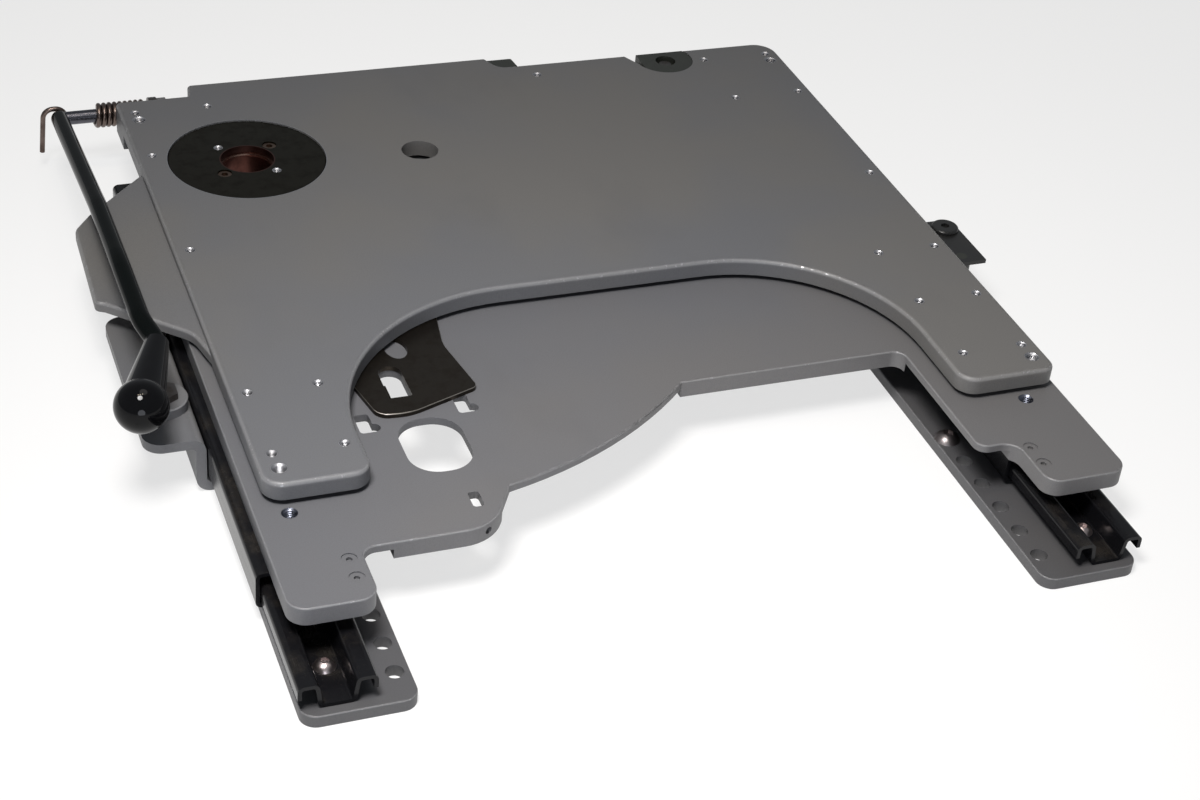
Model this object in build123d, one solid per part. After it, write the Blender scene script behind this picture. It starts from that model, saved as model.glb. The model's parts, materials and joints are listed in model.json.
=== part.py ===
from build123d import *
import math
import os

# Swivel seat base: a slide on two steel rails carries a lower plate, and an upper plate turns on it
# about an off-centre pivot. Millimetres, +Z up, +Y to the rear, +X to the right seen from the front.
# The origin is the centre of the floor bolt pattern, on the underside of the two floor plates.

# Driving dimensions: floor plates
rail_spacing = 492.0
floor_plate_width = 68.0
floor_plate_length = 558.0
floor_plate_thickness = 8.0
floor_plate_corner = 10.0
floor_plate_edge = 1.0
floor_plate_inner_offset = 46.5
floor_hole_diameter = 11.0
floor_hole_pitch = 25.0
floor_holes_per_group = 6
floor_hole_edge = 9.0
floor_hole_end = 24.5
plate_bolt_diameter = 10.0
plate_bolt_head = 17.5
plate_bolt_head_height = 5.5
socket_share = 0.42

# Driving dimensions: slide rails
rail_sheet = 2.5
rail_bend = 1.5
lower_rail_length = 545.0
lower_rail_width = 46.0
lower_rail_height = 17.5
lower_lip_drop = 9.5
trough_width = 21.6
trough_flare = 4.4
upper_rail_width = 52.0
upper_rail_height = 25.0
upper_rail_length = 449.0
upper_lip_width = 9.5
rail_floor_gap = 3.0
roller_play = 0.35
roller_length = 5.0
rollers_per_row = 6
roller_pitch = 56.0
cage_thickness = 1.6
cage_side_gap = 0.5
rail_bolt_diameter = 8.0
rail_bolt_head = 13.6
rail_bolt_head_height = 4.6
rail_bolt_end = 30.0

# Driving dimensions: carriage plate
carriage_thickness = 12.0
carriage_left_overhang = 18.0
carriage_right_overhang = 30.5
carriage_rear = 263.5
foot_front = -235.0
left_foot_inset = 34.3
right_foot_inset = 27.5
shelf_front = -190.7
bar_front = -79.0
right_leg_inset = 53.5
shelf_corner_inset = 115.6
bulge_start = (136.4, -155.6)
bulge_end_inset = 279.0
bulge_radius = 311.0
pivot_lug_radius = 66.0
rear_left_corner = 40.0
foot_corner = 12.0
web_thickness = 5.3
relief_groove_width = 20.0
relief_groove_rear = 120.0
pocket_front = -173.0
pocket_rear = -12.0
carriage_edge = 1.2
window_size = (41.0, 55.0)
window_centre = (104.7, -105.5)
small_slot_size = (7.0, 14.0)
small_slot_centre = (112.4, -163.4)
key_cut_size = (9.5, 19.0)
key_cut_ear = 4.2
key_cut_centres = ((68.0, -75.0), (133.5, -68.5))
shelf_corner_radius = 31.0
shelf_hole_diameter = 5.0
shelf_hole_depth = 10.0
seat_stop_hole = 8.5
stop_hole_from_rail = 2.6
stop_hole_y = -149.7

# Driving dimensions: screws that hold the upper rails to the carriage plate
rail_screw_head = 9.5
rail_screw_head_height = 2.8
rail_screw_shank = 5.0
rail_screw_depth = 8.0
rail_screw_setbacks = (18.0, 50.0)
foot_dimple_diameter = 9.6
foot_dimple_depth = 0.9
foot_dimple_insets = (25.5, 20.7)
foot_dimple_rows = (-215.0, -198.0)

# Driving dimensions: pivot
pivot_from_left = 83.9
pivot_from_rear = 29.0
hub_radius = 34.0
hub_running_gap = 0.08
spigot_radius = 30.0
flange_radius = 56.0
flange_thickness = 5.0
flange_rim_gap = 0.4
flange_below_top = 0.8
thrust_ring_thickness = 1.0
hub_bore_radius = 19.0
sleeve_wall = 1.5
circlip_wire = 1.6
circlip_land = 1.0
groove_depth = 1.2
circlip_reach = 1.0
circlip_opening = 9.0
flange_screw_circle = 26.0
flange_screw_angles = (40.0, 220.0)
flange_tapped_angles = (130.0, 310.0)
flange_screw_head = 10.4
flange_screw_shank = 6.0
flange_screw_length = 18.0
flange_screw_sink = 3.4
flange_head_height = 2.6
flange_head_gap = 0.3
flange_tapped_hole = 5.0
thrust_washer_radius = 62.0
swivel_gap = 4.0
glide_pad_radius = 15.0
glide_pad_inset = 45.0
left_pad_inset = 30.0

# Driving dimensions: top plate
top_thickness = 12.0
top_edge_round = 3.0
seat_spacing_x = 506.6
seat_spacing_y = 431.7
seat_centre_from_pivot = (189.3, -145.3)
seat_hole_diameter = 8.5
top_margin_left = 11.9
top_margin_right = 11.2
top_margin_front = 15.5
top_margin_rear = 30.15
top_left_foot = 66.0
top_right_foot = 69.6
cutout_depth = 173.7
cutout_left_radius = 134.0
cutout_right_radius = 114.0
top_front_corner = 13.0
top_right_front_corner = 9.0
top_rear_right_corner = 17.0
top_rear_left_corner = 3.5
tongue_depth = 16.8
tongue_from_left = 57.0
tongue_length = 235.0
tongue_fillet = 10.0
wing_corners = (
    (20.0, 236.0, 0),
    (0.0, 236.0, 6),
    (-45.0, 189.0, 10),
    (-57.0, 172.0, 12),
    (-59.5, 79.5, 5),
    (-54.0, 77.0, 5),
    (-6.0, 31.0, 22),
    (0.0, 4.0, 0),
    (20.0, 4.0, 0),
)
wing_thickness = 7.0
wing_edge_round = 2.5
accessory_hole_diameter = 5.5
fitting_hole_columns = (11.0, 44.4, 53.2)
fitting_hole_right_columns = (11.0, 44.0, 53.8)
fitting_hole_rear_rows = (19.2, 83.9, 213.9)
fitting_hole_front_rows = (30.4, 94.4, 157.7)
rear_fitting_hole_inset = 205.7
cable_hole_diameter = 27.0
cable_hole_place = (-64.7, 131.5)
hole_chamfer = 0.6

# Driving dimensions: rear puck and stop block
puck_radius = 23.0
puck_gap = 0.5
puck_from_right = 96.7
puck_from_rear = 11.7
puck_flat = 19.5
puck_depth = 8.0
puck_hole_offset = (0.8, -2.5)
puck_hole_floor = 2.0
puck_notch_front = 8.0
puck_notch_flare = 8.0
puck_below_top = 0.6
puck_hole_diameter = 16.0
puck_screw_diameter = 6.0
stop_block_width = 23.0
stop_block_gap = 1.0
stop_block_bottom = 0.5
stop_block_height = 8.5

# Driving dimensions: striker plate
striker_thickness = 3.2
striker_screw_shank = 5.0
striker_edge = 0.6
striker_corners = (
    (71.2, -40.0, 0),
    (77.5, -72.5, 10),
    (98.0, -74.5, 40),
    (147.5, -56.5, 5),
    (139.6, -6.0, 40),
    (147.0, 40.0, 6),
    (71.2, 40.0, 6),
)
striker_screw_centres = ((82.0, 30.0), (135.0, 30.0))
striker_slot_width = 15.0
striker_slot_length = 34.0
striker_slot_inset = 96.8
striker_slot_front = -56.8
striker_slot_gap = 0.5
striker_oval_centre = (108.0, -4.0)
striker_oval_radii = (7.5, 12.0)
striker_tab_thickness = 1.8
striker_tab_length = 12.0
striker_tab_drop = 5.0
striker_tab_lean = 1.6

# Driving dimensions: buckle bracket on the right
buckle_sheet = 3.0
buckle_bend = 1.5
buckle_leg_height = 16.0
buckle_reach = 30.0
buckle_length = 57.0
buckle_front = 13.0
buckle_rear_corner = 12.0
buckle_screw_head = 20.0
buckle_screw_head_height = 3.0
buckle_screw_shank = 8.0
side_screw_shank = 4.0
side_screw_head = 7.2
side_screw_head_height = 2.6
side_screw_depth = 10.0
stud_diameter = 14.0
stud_length = 15.0

# Driving dimensions: belt anchor bracket on the left
anchor_sheet = 6.5
anchor_bend = 3.0
anchor_front = -57.0
anchor_length = 145.0
anchor_reach = 37.4
anchor_top = 40.0
anchor_rail_gap = 0.6
anchor_corner = 12.0
anchor_boss_radius = 16.5
anchor_boss_height = 7.0
anchor_bolt_inset = 18.0
anchor_bolt_from_front = 41.0
anchor_bolt_diameter = 12.0
anchor_head_across_flats = 19.0
anchor_head_height = 4.5
anchor_nut_height = 8.0

# Driving dimensions: release lever
shaft_radius = 5.0
shaft_running_gap = 0.06
shaft_behind_rear = 14.8
shaft_drop = 6.0
shaft_right_from_left = 42.0
arm_diameter = 12.5
arm_from_left = 39.0
arm_bends = ((-1.5, -176.0, 28.0), (-3.0, -266.0, 38.6), (-2.2, -334.3, 38.0), (3.6, -354.8, 33.9))
arm_bend_radii = (160.0, 150.0, 40.0, 22.0)
grip_end = (-17.0, -412.0, 29.0)
grip_ball_radius = 16.8
grip_neck_radius = 7.7
grip_neck_lead = 0.8
grip_shoulder_radius = 13.0
grip_length = 61.0
hanger_size = (40.0, 28.0)
hanger_thickness = 11.0
hanger_from_rear = 2.7
hanger_lug_thickness = 6.5
hanger_lug_radius = 9.0
spring_wire = 3.8
spring_shaft_gap = 0.45
spring_turns = 9.0
spring_pitch = 3.95
spring_crank_gap = 1.6
spring_leg_inset = 4.0
spring_bend = 3.5
crank_thickness = 6.0
crank_length = 12.0
crank_gap = 0.5
hook_gap = 0.55
hook_offset = (-2.5, -4.0)
hook_drop = 31.0
hook_radius = 8.0
hook_splay = 2.6

# Places that follow from the driving dimensions
rail_x = rail_spacing / 2
floor_top = floor_plate_thickness
lower_rail_top = floor_top + lower_rail_height
upper_rail_bottom = floor_top + rail_floor_gap
carriage_bottom = upper_rail_bottom + upper_rail_height
carriage_top = carriage_bottom + carriage_thickness
top_bottom = carriage_top + swivel_gap
top_surface = top_bottom + top_thickness
carriage_left = -rail_x - carriage_left_overhang
carriage_right = rail_x + carriage_right_overhang
upper_rail_rear = carriage_rear
upper_rail_front = upper_rail_rear - upper_rail_length
pivot_x = carriage_left + pivot_from_left
pivot_y = carriage_rear - pivot_from_rear
seat_x = pivot_x + seat_centre_from_pivot[0]
seat_y = pivot_y + seat_centre_from_pivot[1]
top_left = seat_x - seat_spacing_x / 2 - top_margin_left
top_right = seat_x + seat_spacing_x / 2 + top_margin_right
top_front = seat_y - seat_spacing_y / 2 - top_margin_front
top_rear = seat_y + seat_spacing_y / 2 + top_margin_rear
flange_top = top_surface - flange_below_top
flange_bottom = flange_top - flange_thickness
counterbore_bottom = flange_bottom - thrust_ring_thickness
shaft_y = top_rear + shaft_behind_rear
shaft_z = top_bottom - shaft_drop
arm_x = top_left - arm_from_left
puck_x = top_right - puck_from_right
puck_y = top_rear - puck_from_rear

# Small shares, insets and sinks of the fasteners and fittings
window_rounding_share = 0.45
small_slot_rounding_share = 0.3
pocket_corner = 10.0
striker_slot_corner = 1.5
striker_tab_setback = 1.8
flange_chamfer = 0.4
thrust_ring_inset = 4.0
thrust_ring_gap = 0.3
thrust_washer_gap = 0.5
tongue_run_out = 7.0
hanger_screw_hole_radius = 2.5
hanger_screw_hole_depth = 7.5
hanger_counterbore_radius = 5.0
hanger_counterbore_depth = 4.0
hanger_head_radius = 4.6
hanger_head_sink = 0.5
hanger_screw_reach = 7.0
hanger_screw_inset = 9.0
puck_head_share = 0.8
puck_head_height = 3.5
stop_block_overlap = 4.0
stop_block_taper = 2.0
stop_block_corner = 1.5
arm_tip_share = 0.45
crank_boss_wall = 5.0
crank_tip_radius = 5.0
crank_pin_radius = 2.0
hook_tightening = 0.6
buckle_screw_side_inset = 10.5
buckle_screw_rear_inset = 12.0
stud_from_edge = 14.5
stud_from_front = 8.5
stud_shank_radius = 4.0
stud_round = 2.5
side_screw_inset = 9.0
buckle_head_round = 1.8
buckle_key_radius = 3.4
buckle_key_floor = 0.8
buckle_nut_width = 13.0
buckle_nut_height = 6.5
rail_key_radius = 2.3
rail_key_depth = 2.6
spacer_chamfer = 0.8


def rounded_outline(corners):
    """Flat closed outline from (x, y, radius) corners in order round the shape."""
    points = [(x, y) for x, y, _ in corners]
    radii = [radius for _, _, radius in corners]
    return make_face(FilletPolyline(*points, radius=radii, close=True))


def slab(face, bottom, thickness):
    """Solid of one thickness that stands on the height called bottom."""
    return extrude(Pos(0, 0, bottom) * face, thickness)


def disc(x, y, radius, bottom, height):
    """Upright round bar, also used as the cutter for a round hole."""
    return Pos(x, y, bottom) * Cylinder(radius, height, align=(Align.CENTER, Align.CENTER, Align.MIN))


def box_between(low, high):
    """Box between two opposite corners."""
    size = [b - a for a, b in zip(low, high)]
    centre = [(a + b) / 2 for a, b in zip(low, high)]
    return Pos(*centre) * Box(*size)


def tapped_hole(x, y, radius, surface, depth):
    """Cutter for a hole with a small chamfer at its mouth."""
    mouth = Pos(x, y, surface - hole_chamfer / 2) * Cone(radius, radius + hole_chamfer, hole_chamfer)
    return disc(x, y, radius, surface - depth, depth) + mouth


def nearer_end(wire, place):
    """The end of an open wire that lies nearer to a place."""
    return min((wire @ 0, wire @ 1), key=lambda end: (end - place).length)


def bent_sheet(points, thickness, inner_radius):
    """Section of a folded sheet from the middle line of its wall."""
    middle = FilletPolyline(*points, radius=inner_radius + thickness / 2)
    left = middle.offset_2d(thickness / 2, side=Side.LEFT, closed=False)
    right = middle.offset_2d(thickness / 2, side=Side.RIGHT, closed=False)
    caps = [Line(nearer_end(left, place), nearer_end(right, place)) for place in (middle @ 0, middle @ 1)]
    return make_face(left.edges() + right.edges() + [cap.edge() for cap in caps])


def along_y(face, front, length):
    """Run an X-Z section rearwards from the place called front."""
    return extrude(Pos(0, front, 0) * Rot(90, 0, 0) * face, -length)


def button_head(x, y, seat, head, shank_diameter, shank_bottom):
    """Domed socket screw whose head, of a diameter and a height, sits on the height called seat."""
    head_diameter, head_height = head
    head_radius = head_diameter / 2
    dome = (head_radius * head_radius + head_height * head_height) / (2 * head_height)
    cap = Sphere(dome) & Pos(0, 0, dome - head_height / 2) * Box(head_diameter, head_diameter, head_height)
    domed = Pos(x, y, seat + head_height - dome) * cap
    socket = RegularPolygon(head_radius * socket_share, 6)
    socket_cut = slab(Pos(x, y) * socket, seat + head_height * 0.45, head_height)
    return domed + disc(x, y, shank_diameter / 2, shank_bottom, seat - shank_bottom) - socket_cut


def hex_prism(x, y, across_flats, bottom, height):
    """Hexagon bar standing on the height called bottom."""
    hexagon = Rot(0, 0, 30) * RegularPolygon(across_flats / 2, 6, major_radius=False)
    return slab(Pos(x, y) * hexagon, bottom, height)


# Floor plates and what bolts them down
def floor_hole_rows():
    """Lengthwise places of the holes in one plate, front group and then its mirror."""
    front = -floor_plate_length / 2 + floor_hole_end
    places = [front + floor_hole_pitch * step for step in range(floor_holes_per_group)]
    return places + [-y for y in places]


def plate_bolt_places():
    """The innermost hole of each group carries a bolt."""
    x = rail_x - floor_plate_inner_offset + floor_hole_edge
    y = floor_plate_length / 2 - floor_hole_end - floor_hole_pitch * (floor_holes_per_group - 1)
    return [(sx * x, sy * y) for sx in (-1, 1) for sy in (-1, 1)]


def rail_bolt_places(side):
    """The lower rail is bolted to its plate near both ends."""
    y = lower_rail_length / 2 - rail_bolt_end
    return [(side * rail_x, -y), (side * rail_x, y)]


def floor_plate(side):
    """Flat steel strip under one rail; side is -1 on the left and 1 on the right."""
    inner = rail_x - floor_plate_inner_offset
    middle = side * (inner + floor_plate_width / 2)
    face = Pos(middle, 0) * RectangleRounded(floor_plate_width, floor_plate_length, floor_plate_corner)
    plate = slab(face, 0, floor_plate_thickness)
    plate = fillet(plate.faces().sort_by(Axis.Z)[-1].outer_wire().edges(), floor_plate_edge)
    for y in floor_hole_rows():
        plate -= disc(side * (inner + floor_hole_edge), y, floor_hole_diameter / 2, -1, floor_top + 2)
    for x, y in rail_bolt_places(side):
        plate -= disc(x, y, rail_bolt_diameter / 2, -1, floor_top + 2)
    return plate


def plate_bolts():
    head = (plate_bolt_head, plate_bolt_head_height)
    return [button_head(x, y, floor_top, head, plate_bolt_diameter, 0) for x, y in plate_bolt_places()]


# Slide rails
def lower_rail(side):
    """Hat channel, open upward in the middle, with its two flanges turned down at the edges."""
    half_sheet = rail_sheet / 2
    low = floor_top + half_sheet
    high = lower_rail_top - half_sheet
    trough = trough_width / 2 - half_sheet
    flare = trough + trough_flare / 2
    edge = lower_rail_width / 2 - half_sheet
    lip = lower_rail_top - lower_lip_drop
    half = [(edge, lip), (edge, high), (flare, high), (trough, low)]
    path = [(-x, z) for x, z in half] + half[::-1]
    section = bent_sheet(path, rail_sheet, rail_bend)
    rail = Pos(side * rail_x, 0, 0) * along_y(section, -lower_rail_length / 2, lower_rail_length)
    for x, y in rail_bolt_places(side):
        rail -= disc(x, y, rail_bolt_diameter / 2, floor_top - 1, rail_sheet + 2)
    return rail


def rail_bolts():
    """Bolts in the bottom of each trough."""
    seat = floor_top + rail_sheet
    head = (rail_bolt_head, rail_bolt_head_height)
    places = rail_bolt_places(-1) + rail_bolt_places(1)
    return [button_head(x, y, seat, head, rail_bolt_diameter, 0) for x, y in places]


def upper_rail(side):
    """C channel, open downward, whose lips hook under the lower rail's flanges."""
    half_sheet = rail_sheet / 2
    edge = upper_rail_width / 2 - half_sheet
    low = upper_rail_bottom + half_sheet
    high = carriage_bottom - half_sheet
    lip = upper_rail_width / 2 - upper_lip_width
    path = [(-lip, low), (-edge, low), (-edge, high), (edge, high), (edge, low), (lip, low)]
    section = bent_sheet(path, rail_sheet, rail_bend)
    rail = Pos(side * rail_x, 0, 0) * along_y(section, upper_rail_front, upper_rail_length)
    for x, y in rail_screw_places(side):
        rail -= disc(x, y, rail_screw_shank / 2, carriage_bottom - rail_sheet - 1, rail_sheet + 2)
    return rail


def roller_places():
    """Rollers run in two rows, over the two flanges of the lower rail."""
    flange_inner = (trough_width + trough_flare) / 2
    row = (flange_inner + lower_rail_width / 2) / 2
    middle = (upper_rail_front + upper_rail_rear) / 2
    first = middle - roller_pitch * (rollers_per_row - 1) / 2
    return [(sx * row, first + roller_pitch * step) for sx in (-1, 1) for step in range(rollers_per_row)]


def rollers(side):
    """Steel rollers between the two rails."""
    top = carriage_bottom - rail_sheet
    radius = (top - lower_rail_top - roller_play) / 2
    height = top - 0.05 - radius
    bar = Rot(0, 90, 0) * Cylinder(radius, roller_length)
    return [Pos(side * rail_x + x, y, height) * bar for x, y in roller_places()]


def roller_cage(side):
    """Thin nylon strip with a window round each roller."""
    top = carriage_bottom - rail_sheet
    radius = (top - lower_rail_top - roller_play) / 2
    height = top - 0.05 - radius
    width = upper_rail_width - 2 * rail_sheet - 2 * cage_side_gap
    length = roller_pitch * (rollers_per_row - 1) + 4 * radius
    middle = (upper_rail_front + upper_rail_rear) / 2
    strip = Pos(side * rail_x, middle, height) * Box(width, length, cage_thickness)
    window = Box(roller_length + 0.6, 2 * radius + 0.6, 2 * cage_thickness)
    for x, y in roller_places():
        strip -= Pos(side * rail_x + x, y, height) * window
    return strip


# Carriage plate
def carriage_outline():
    """Plan of the carriage plate without its round lug and its bulge."""
    return rounded_outline(
        [
            (carriage_left, carriage_rear, rear_left_corner),
            (carriage_left, foot_front, foot_corner),
            (-rail_x + left_foot_inset, foot_front, foot_corner),
            (-rail_x + left_foot_inset, shelf_front, foot_corner - 3),
            (-rail_x + shelf_corner_inset, shelf_front, shelf_corner_radius),
            (-rail_x + bulge_start[0], bulge_start[1], 0),
            (-rail_x + bulge_end_inset, bar_front, 0),
            (rail_x - right_leg_inset, bar_front, foot_corner - 4),
            (rail_x - right_leg_inset, shelf_front, foot_corner - 4),
            (rail_x - right_foot_inset, shelf_front, foot_corner - 1),
            (rail_x - right_foot_inset, foot_front, foot_corner - 1),
            (carriage_right, foot_front, foot_corner),
            (carriage_right, carriage_rear, foot_corner),
        ]
    )


def bulge_segment():
    """Part of a disc that swells the front edge between its two notches."""
    start = (-rail_x + bulge_start[0], bulge_start[1])
    end = (-rail_x + bulge_end_inset, bar_front)
    return make_face([RadiusArc(start, end, -bulge_radius), Line(end, start)])


def key_cut(x, y):
    """Slot with a round ear at its front right corner."""
    width, length = key_cut_size
    ear = Pos(x + width / 2, y - length / 2 + key_cut_ear) * Circle(key_cut_ear)
    return Pos(x, y) * RectangleRounded(width, length, width / 4) + ear


def rail_screw_places(side):
    """Screws in the roof of one upper rail, two near each end."""
    fronts = [upper_rail_front + setback for setback in rail_screw_setbacks]
    rears = [upper_rail_rear - setback for setback in rail_screw_setbacks]
    return [(side * rail_x, y) for y in fronts + rears]


def foot_dimple_places():
    """Shallow screw seats in both front feet."""
    left, right = foot_dimple_insets
    return [(x, y) for x in (-rail_x + left, rail_x - right) for y in foot_dimple_rows]


def carriage_plate():
    """Twelve millimetre plate with relieved underside, windows and the lug for the pivot."""
    face = carriage_outline() + bulge_segment() + Pos(pivot_x, pivot_y) * Circle(pivot_lug_radius)
    plate = slab(face, carriage_bottom, carriage_thickness)
    plate = fillet(plate.faces().sort_by(Axis.Z)[-1].outer_wire().edges(), carriage_edge)
    plate -= carriage_relief()
    bottom = carriage_bottom - 1
    depth = carriage_thickness + 2
    window_width, window_length = window_size
    window = RectangleRounded(window_width, window_length, window_width * window_rounding_share)
    plate -= slab(Pos(-rail_x + window_centre[0], window_centre[1]) * window, bottom, depth)
    small = RectangleRounded(*small_slot_size, small_slot_size[0] * small_slot_rounding_share)
    plate -= slab(Pos(-rail_x + small_slot_centre[0], small_slot_centre[1]) * small, bottom, depth)
    for x, y in key_cut_centres:
        plate -= slab(key_cut(-rail_x + x, y), bottom, depth)
    for x in (-rail_x + stop_hole_from_rail, rail_x + stop_hole_from_rail):
        plate -= tapped_hole(x, stop_hole_y, seat_stop_hole / 2, carriage_top, carriage_thickness - 2)
    plate -= disc(pivot_x, pivot_y, spigot_radius, bottom, depth)
    plate -= slab(striker_slot(striker_slot_gap), bottom, depth)
    for x, y in rail_screw_places(-1) + rail_screw_places(1):
        plate -= disc(x, y, rail_screw_shank / 2, carriage_bottom - 1, rail_screw_depth + 1)
    for x, y in foot_dimple_places():
        plate -= disc(x, y, foot_dimple_diameter / 2, carriage_top - foot_dimple_depth, 2)
        plate -= disc(x, y, foot_dimple_diameter / 5, carriage_top - 3 * foot_dimple_depth, 4)
    for x, y in striker_screw_places():
        plate -= disc(x, y, striker_screw_shank / 2, carriage_bottom + 2, carriage_thickness)
    for y in buckle_side_screws_y():
        hole = Pos(carriage_right, y, side_screw_z()) * Rot(0, 90, 0)
        plate -= hole * disc(0, 0, side_screw_shank / 2, -side_screw_depth, side_screw_depth + 1)
    return plate - shelf_hole()


def shelf_hole():
    """Blind hole in the middle of the shelf's rounded corner, half way up the plate's edge."""
    turn = math.atan2(bulge_start[1] - shelf_front, bulge_start[0] - shelf_corner_inset)
    centre_x = -rail_x + shelf_corner_inset - shelf_corner_radius * math.tan(turn / 2)
    centre_y = shelf_front + shelf_corner_radius
    outward = Rot(0, 0, math.degrees(turn / 2) - 90) * Rot(0, 90, 0)
    place = Pos(centre_x, centre_y, carriage_bottom + carriage_thickness / 2) * outward
    start = shelf_corner_radius - shelf_hole_depth
    return place * disc(0, 0, shelf_hole_diameter / 2, start, shelf_hole_depth + 1)


def carriage_relief():
    """Everything milled away under the plate: two grooves and the pocket behind the front rim."""
    low = carriage_bottom - 1
    high = carriage_top - web_thickness
    front = foot_front - 1
    left_groove = -rail_x + left_foot_inset
    right_groove = rail_x - right_leg_inset
    right_width = relief_groove_width + 2
    pocket_left = left_groove + relief_groove_width
    grooves = box_between((left_groove, front, low), (pocket_left, relief_groove_rear, high))
    grooves += box_between((right_groove, front, low), (right_groove + right_width, relief_groove_rear, high))
    pocket_right = -rail_x + bulge_end_inset
    pocket = rounded_outline(
        [
            (pocket_left, pocket_rear, 0),
            (pocket_left, pocket_front, 0),
            (pocket_right, pocket_front, 0),
            (pocket_right, pocket_rear, pocket_corner),
        ]
    )
    return grooves + slab(pocket, low, high - low)


# Striker plate on the carriage
def striker_slot(margin):
    """Plan of the slot, round at the rear; the carriage plate has the same one a little larger."""
    x = -rail_x + striker_slot_inset
    front = striker_slot_front - margin
    rear = front + striker_slot_length + 2 * margin
    half = striker_slot_width / 2 + margin
    corners = [
        (x - half, front, striker_slot_corner),
        (x + half, front, striker_slot_corner),
        (x + half, rear, half),
        (x - half, rear, half),
    ]
    return rounded_outline(corners)


def striker_plate():
    """Dark steel plate that the upper plate's lock runs over, with a tab bent down in its slot."""
    face = rounded_outline([(x - rail_x, y, radius) for x, y, radius in striker_corners])
    plate = slab(face, carriage_top, striker_thickness)
    plate = fillet(plate.faces().sort_by(Axis.Z)[-1].outer_wire().edges(), striker_edge)
    depth = striker_thickness + 2
    plate -= slab(striker_slot(0), carriage_top - 1, depth)
    for x, y in striker_screw_places():
        plate -= disc(x, y, striker_screw_shank / 2, carriage_top - 1, depth)
    x, y = striker_oval_centre
    plate -= slab(Pos(x - rail_x, y) * Ellipse(*striker_oval_radii), carriage_top - 1, depth)
    return plate + striker_tab()


def striker_tab():
    """Strip of the plate turned down at the slot's left side."""
    x = -rail_x + striker_slot_inset - striker_slot_width / 2
    top = carriage_top + striker_thickness
    root = carriage_top + striker_edge
    low = carriage_top - striker_tab_drop
    lean = striker_tab_lean
    section = Polyline(
        (x - 1, top),
        (x + 1, top),
        (x + lean + striker_tab_thickness, low),
        (x + lean, low),
        (x, root),
        (x - 1, root),
        close=True,
    )
    return along_y(make_face(section), striker_slot_front + striker_tab_setback, striker_tab_length)


def striker_screw_places():
    return [(x - rail_x, y) for x, y in striker_screw_centres]


# Pivot
def pivot_hub():
    """Turned hub: a spigot in the carriage plate and the barrel that the top plate turns on."""
    hub = disc(pivot_x, pivot_y, hub_radius, carriage_top, flange_bottom - carriage_top)
    hub += disc(pivot_x, pivot_y, spigot_radius, carriage_bottom, carriage_thickness)
    hub -= disc(pivot_x, pivot_y, hub_bore_radius, carriage_bottom - 1, top_surface)
    groove = flange_bottom - circlip_wire - circlip_land
    hub -= disc(pivot_x, pivot_y, hub_bore_radius + groove_depth, groove, circlip_wire)
    for x, y in flange_screw_places(flange_screw_angles):
        hub -= disc(x, y, flange_screw_shank / 2, flange_top - flange_screw_length, flange_screw_length)
    return hub


def flange_screw_places(angles):
    return [
        (
            pivot_x + flange_screw_circle * math.cos(math.radians(angle)),
            pivot_y + flange_screw_circle * math.sin(math.radians(angle)),
        )
        for angle in angles
    ]


def pivot_flange():
    """Disc let into the top plate, which holds the top plate down on the hub."""
    flange = disc(pivot_x, pivot_y, flange_radius, flange_bottom, flange_thickness)
    flange = chamfer(flange.faces().sort_by(Axis.Z)[-1].outer_wire().edges(), flange_chamfer)
    flange -= disc(pivot_x, pivot_y, hub_bore_radius, flange_bottom - 1, flange_thickness + 2)
    sink = flange_screw_head / 2
    for x, y in flange_screw_places(flange_screw_angles):
        flange -= disc(x, y, flange_screw_shank / 2, flange_bottom - 1, flange_thickness + 2)
        flange -= disc(x, y, sink, flange_top - flange_screw_sink, 5)
    for x, y in flange_screw_places(flange_tapped_angles):
        flange -= tapped_hole(x, y, flange_tapped_hole / 2, flange_top, flange_thickness + 1)
    return flange


def flange_screws():
    """Socket screws sunk in the flange; their threads end inside the hub."""
    screws = []
    for x, y in flange_screw_places(flange_screw_angles):
        seat = flange_top - flange_screw_sink
        tip = flange_top - flange_screw_length
        head = disc(x, y, flange_screw_head / 2 - flange_head_gap, seat, flange_head_height)
        socket = slab(Pos(x, y) * RegularPolygon(flange_screw_head / 4, 6), seat + 1, flange_head_height)
        shank = disc(x, y, flange_screw_shank / 2, tip, seat - tip)
        screws.append(head + shank - socket)
    return screws


def thrust_ring():
    """Thin ring under the flange."""
    outer = flange_radius - thrust_ring_inset
    ring = disc(pivot_x, pivot_y, outer, counterbore_bottom, thrust_ring_thickness)
    return ring - disc(pivot_x, pivot_y, hub_radius + thrust_ring_gap, counterbore_bottom - 1, 4)


def thrust_washer():
    """Nylon washer between the two plates."""
    washer = disc(pivot_x, pivot_y, thrust_washer_radius, carriage_top, swivel_gap)
    return washer - disc(pivot_x, pivot_y, hub_radius + thrust_washer_gap, carriage_top - 1, swivel_gap + 2)


def hub_sleeve():
    """Bronze sleeve in the hub's bore, below the circlip."""
    top = flange_bottom - circlip_wire - circlip_land
    sleeve = disc(pivot_x, pivot_y, hub_bore_radius, carriage_bottom, top - carriage_bottom)
    return sleeve - disc(pivot_x, pivot_y, hub_bore_radius - sleeve_wall, carriage_bottom - 1, 40)


def circlip():
    """Open spring ring seated in the hub's groove."""
    bottom = flange_bottom - circlip_wire - circlip_land
    ring = disc(pivot_x, pivot_y, hub_bore_radius + groove_depth, bottom, circlip_wire)
    ring -= disc(pivot_x, pivot_y, hub_bore_radius - circlip_reach, bottom - 1, circlip_wire + 2)
    opening = Pos(pivot_x, pivot_y - hub_bore_radius, bottom) * Box(circlip_opening, 8, 6)
    return ring - opening


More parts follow.
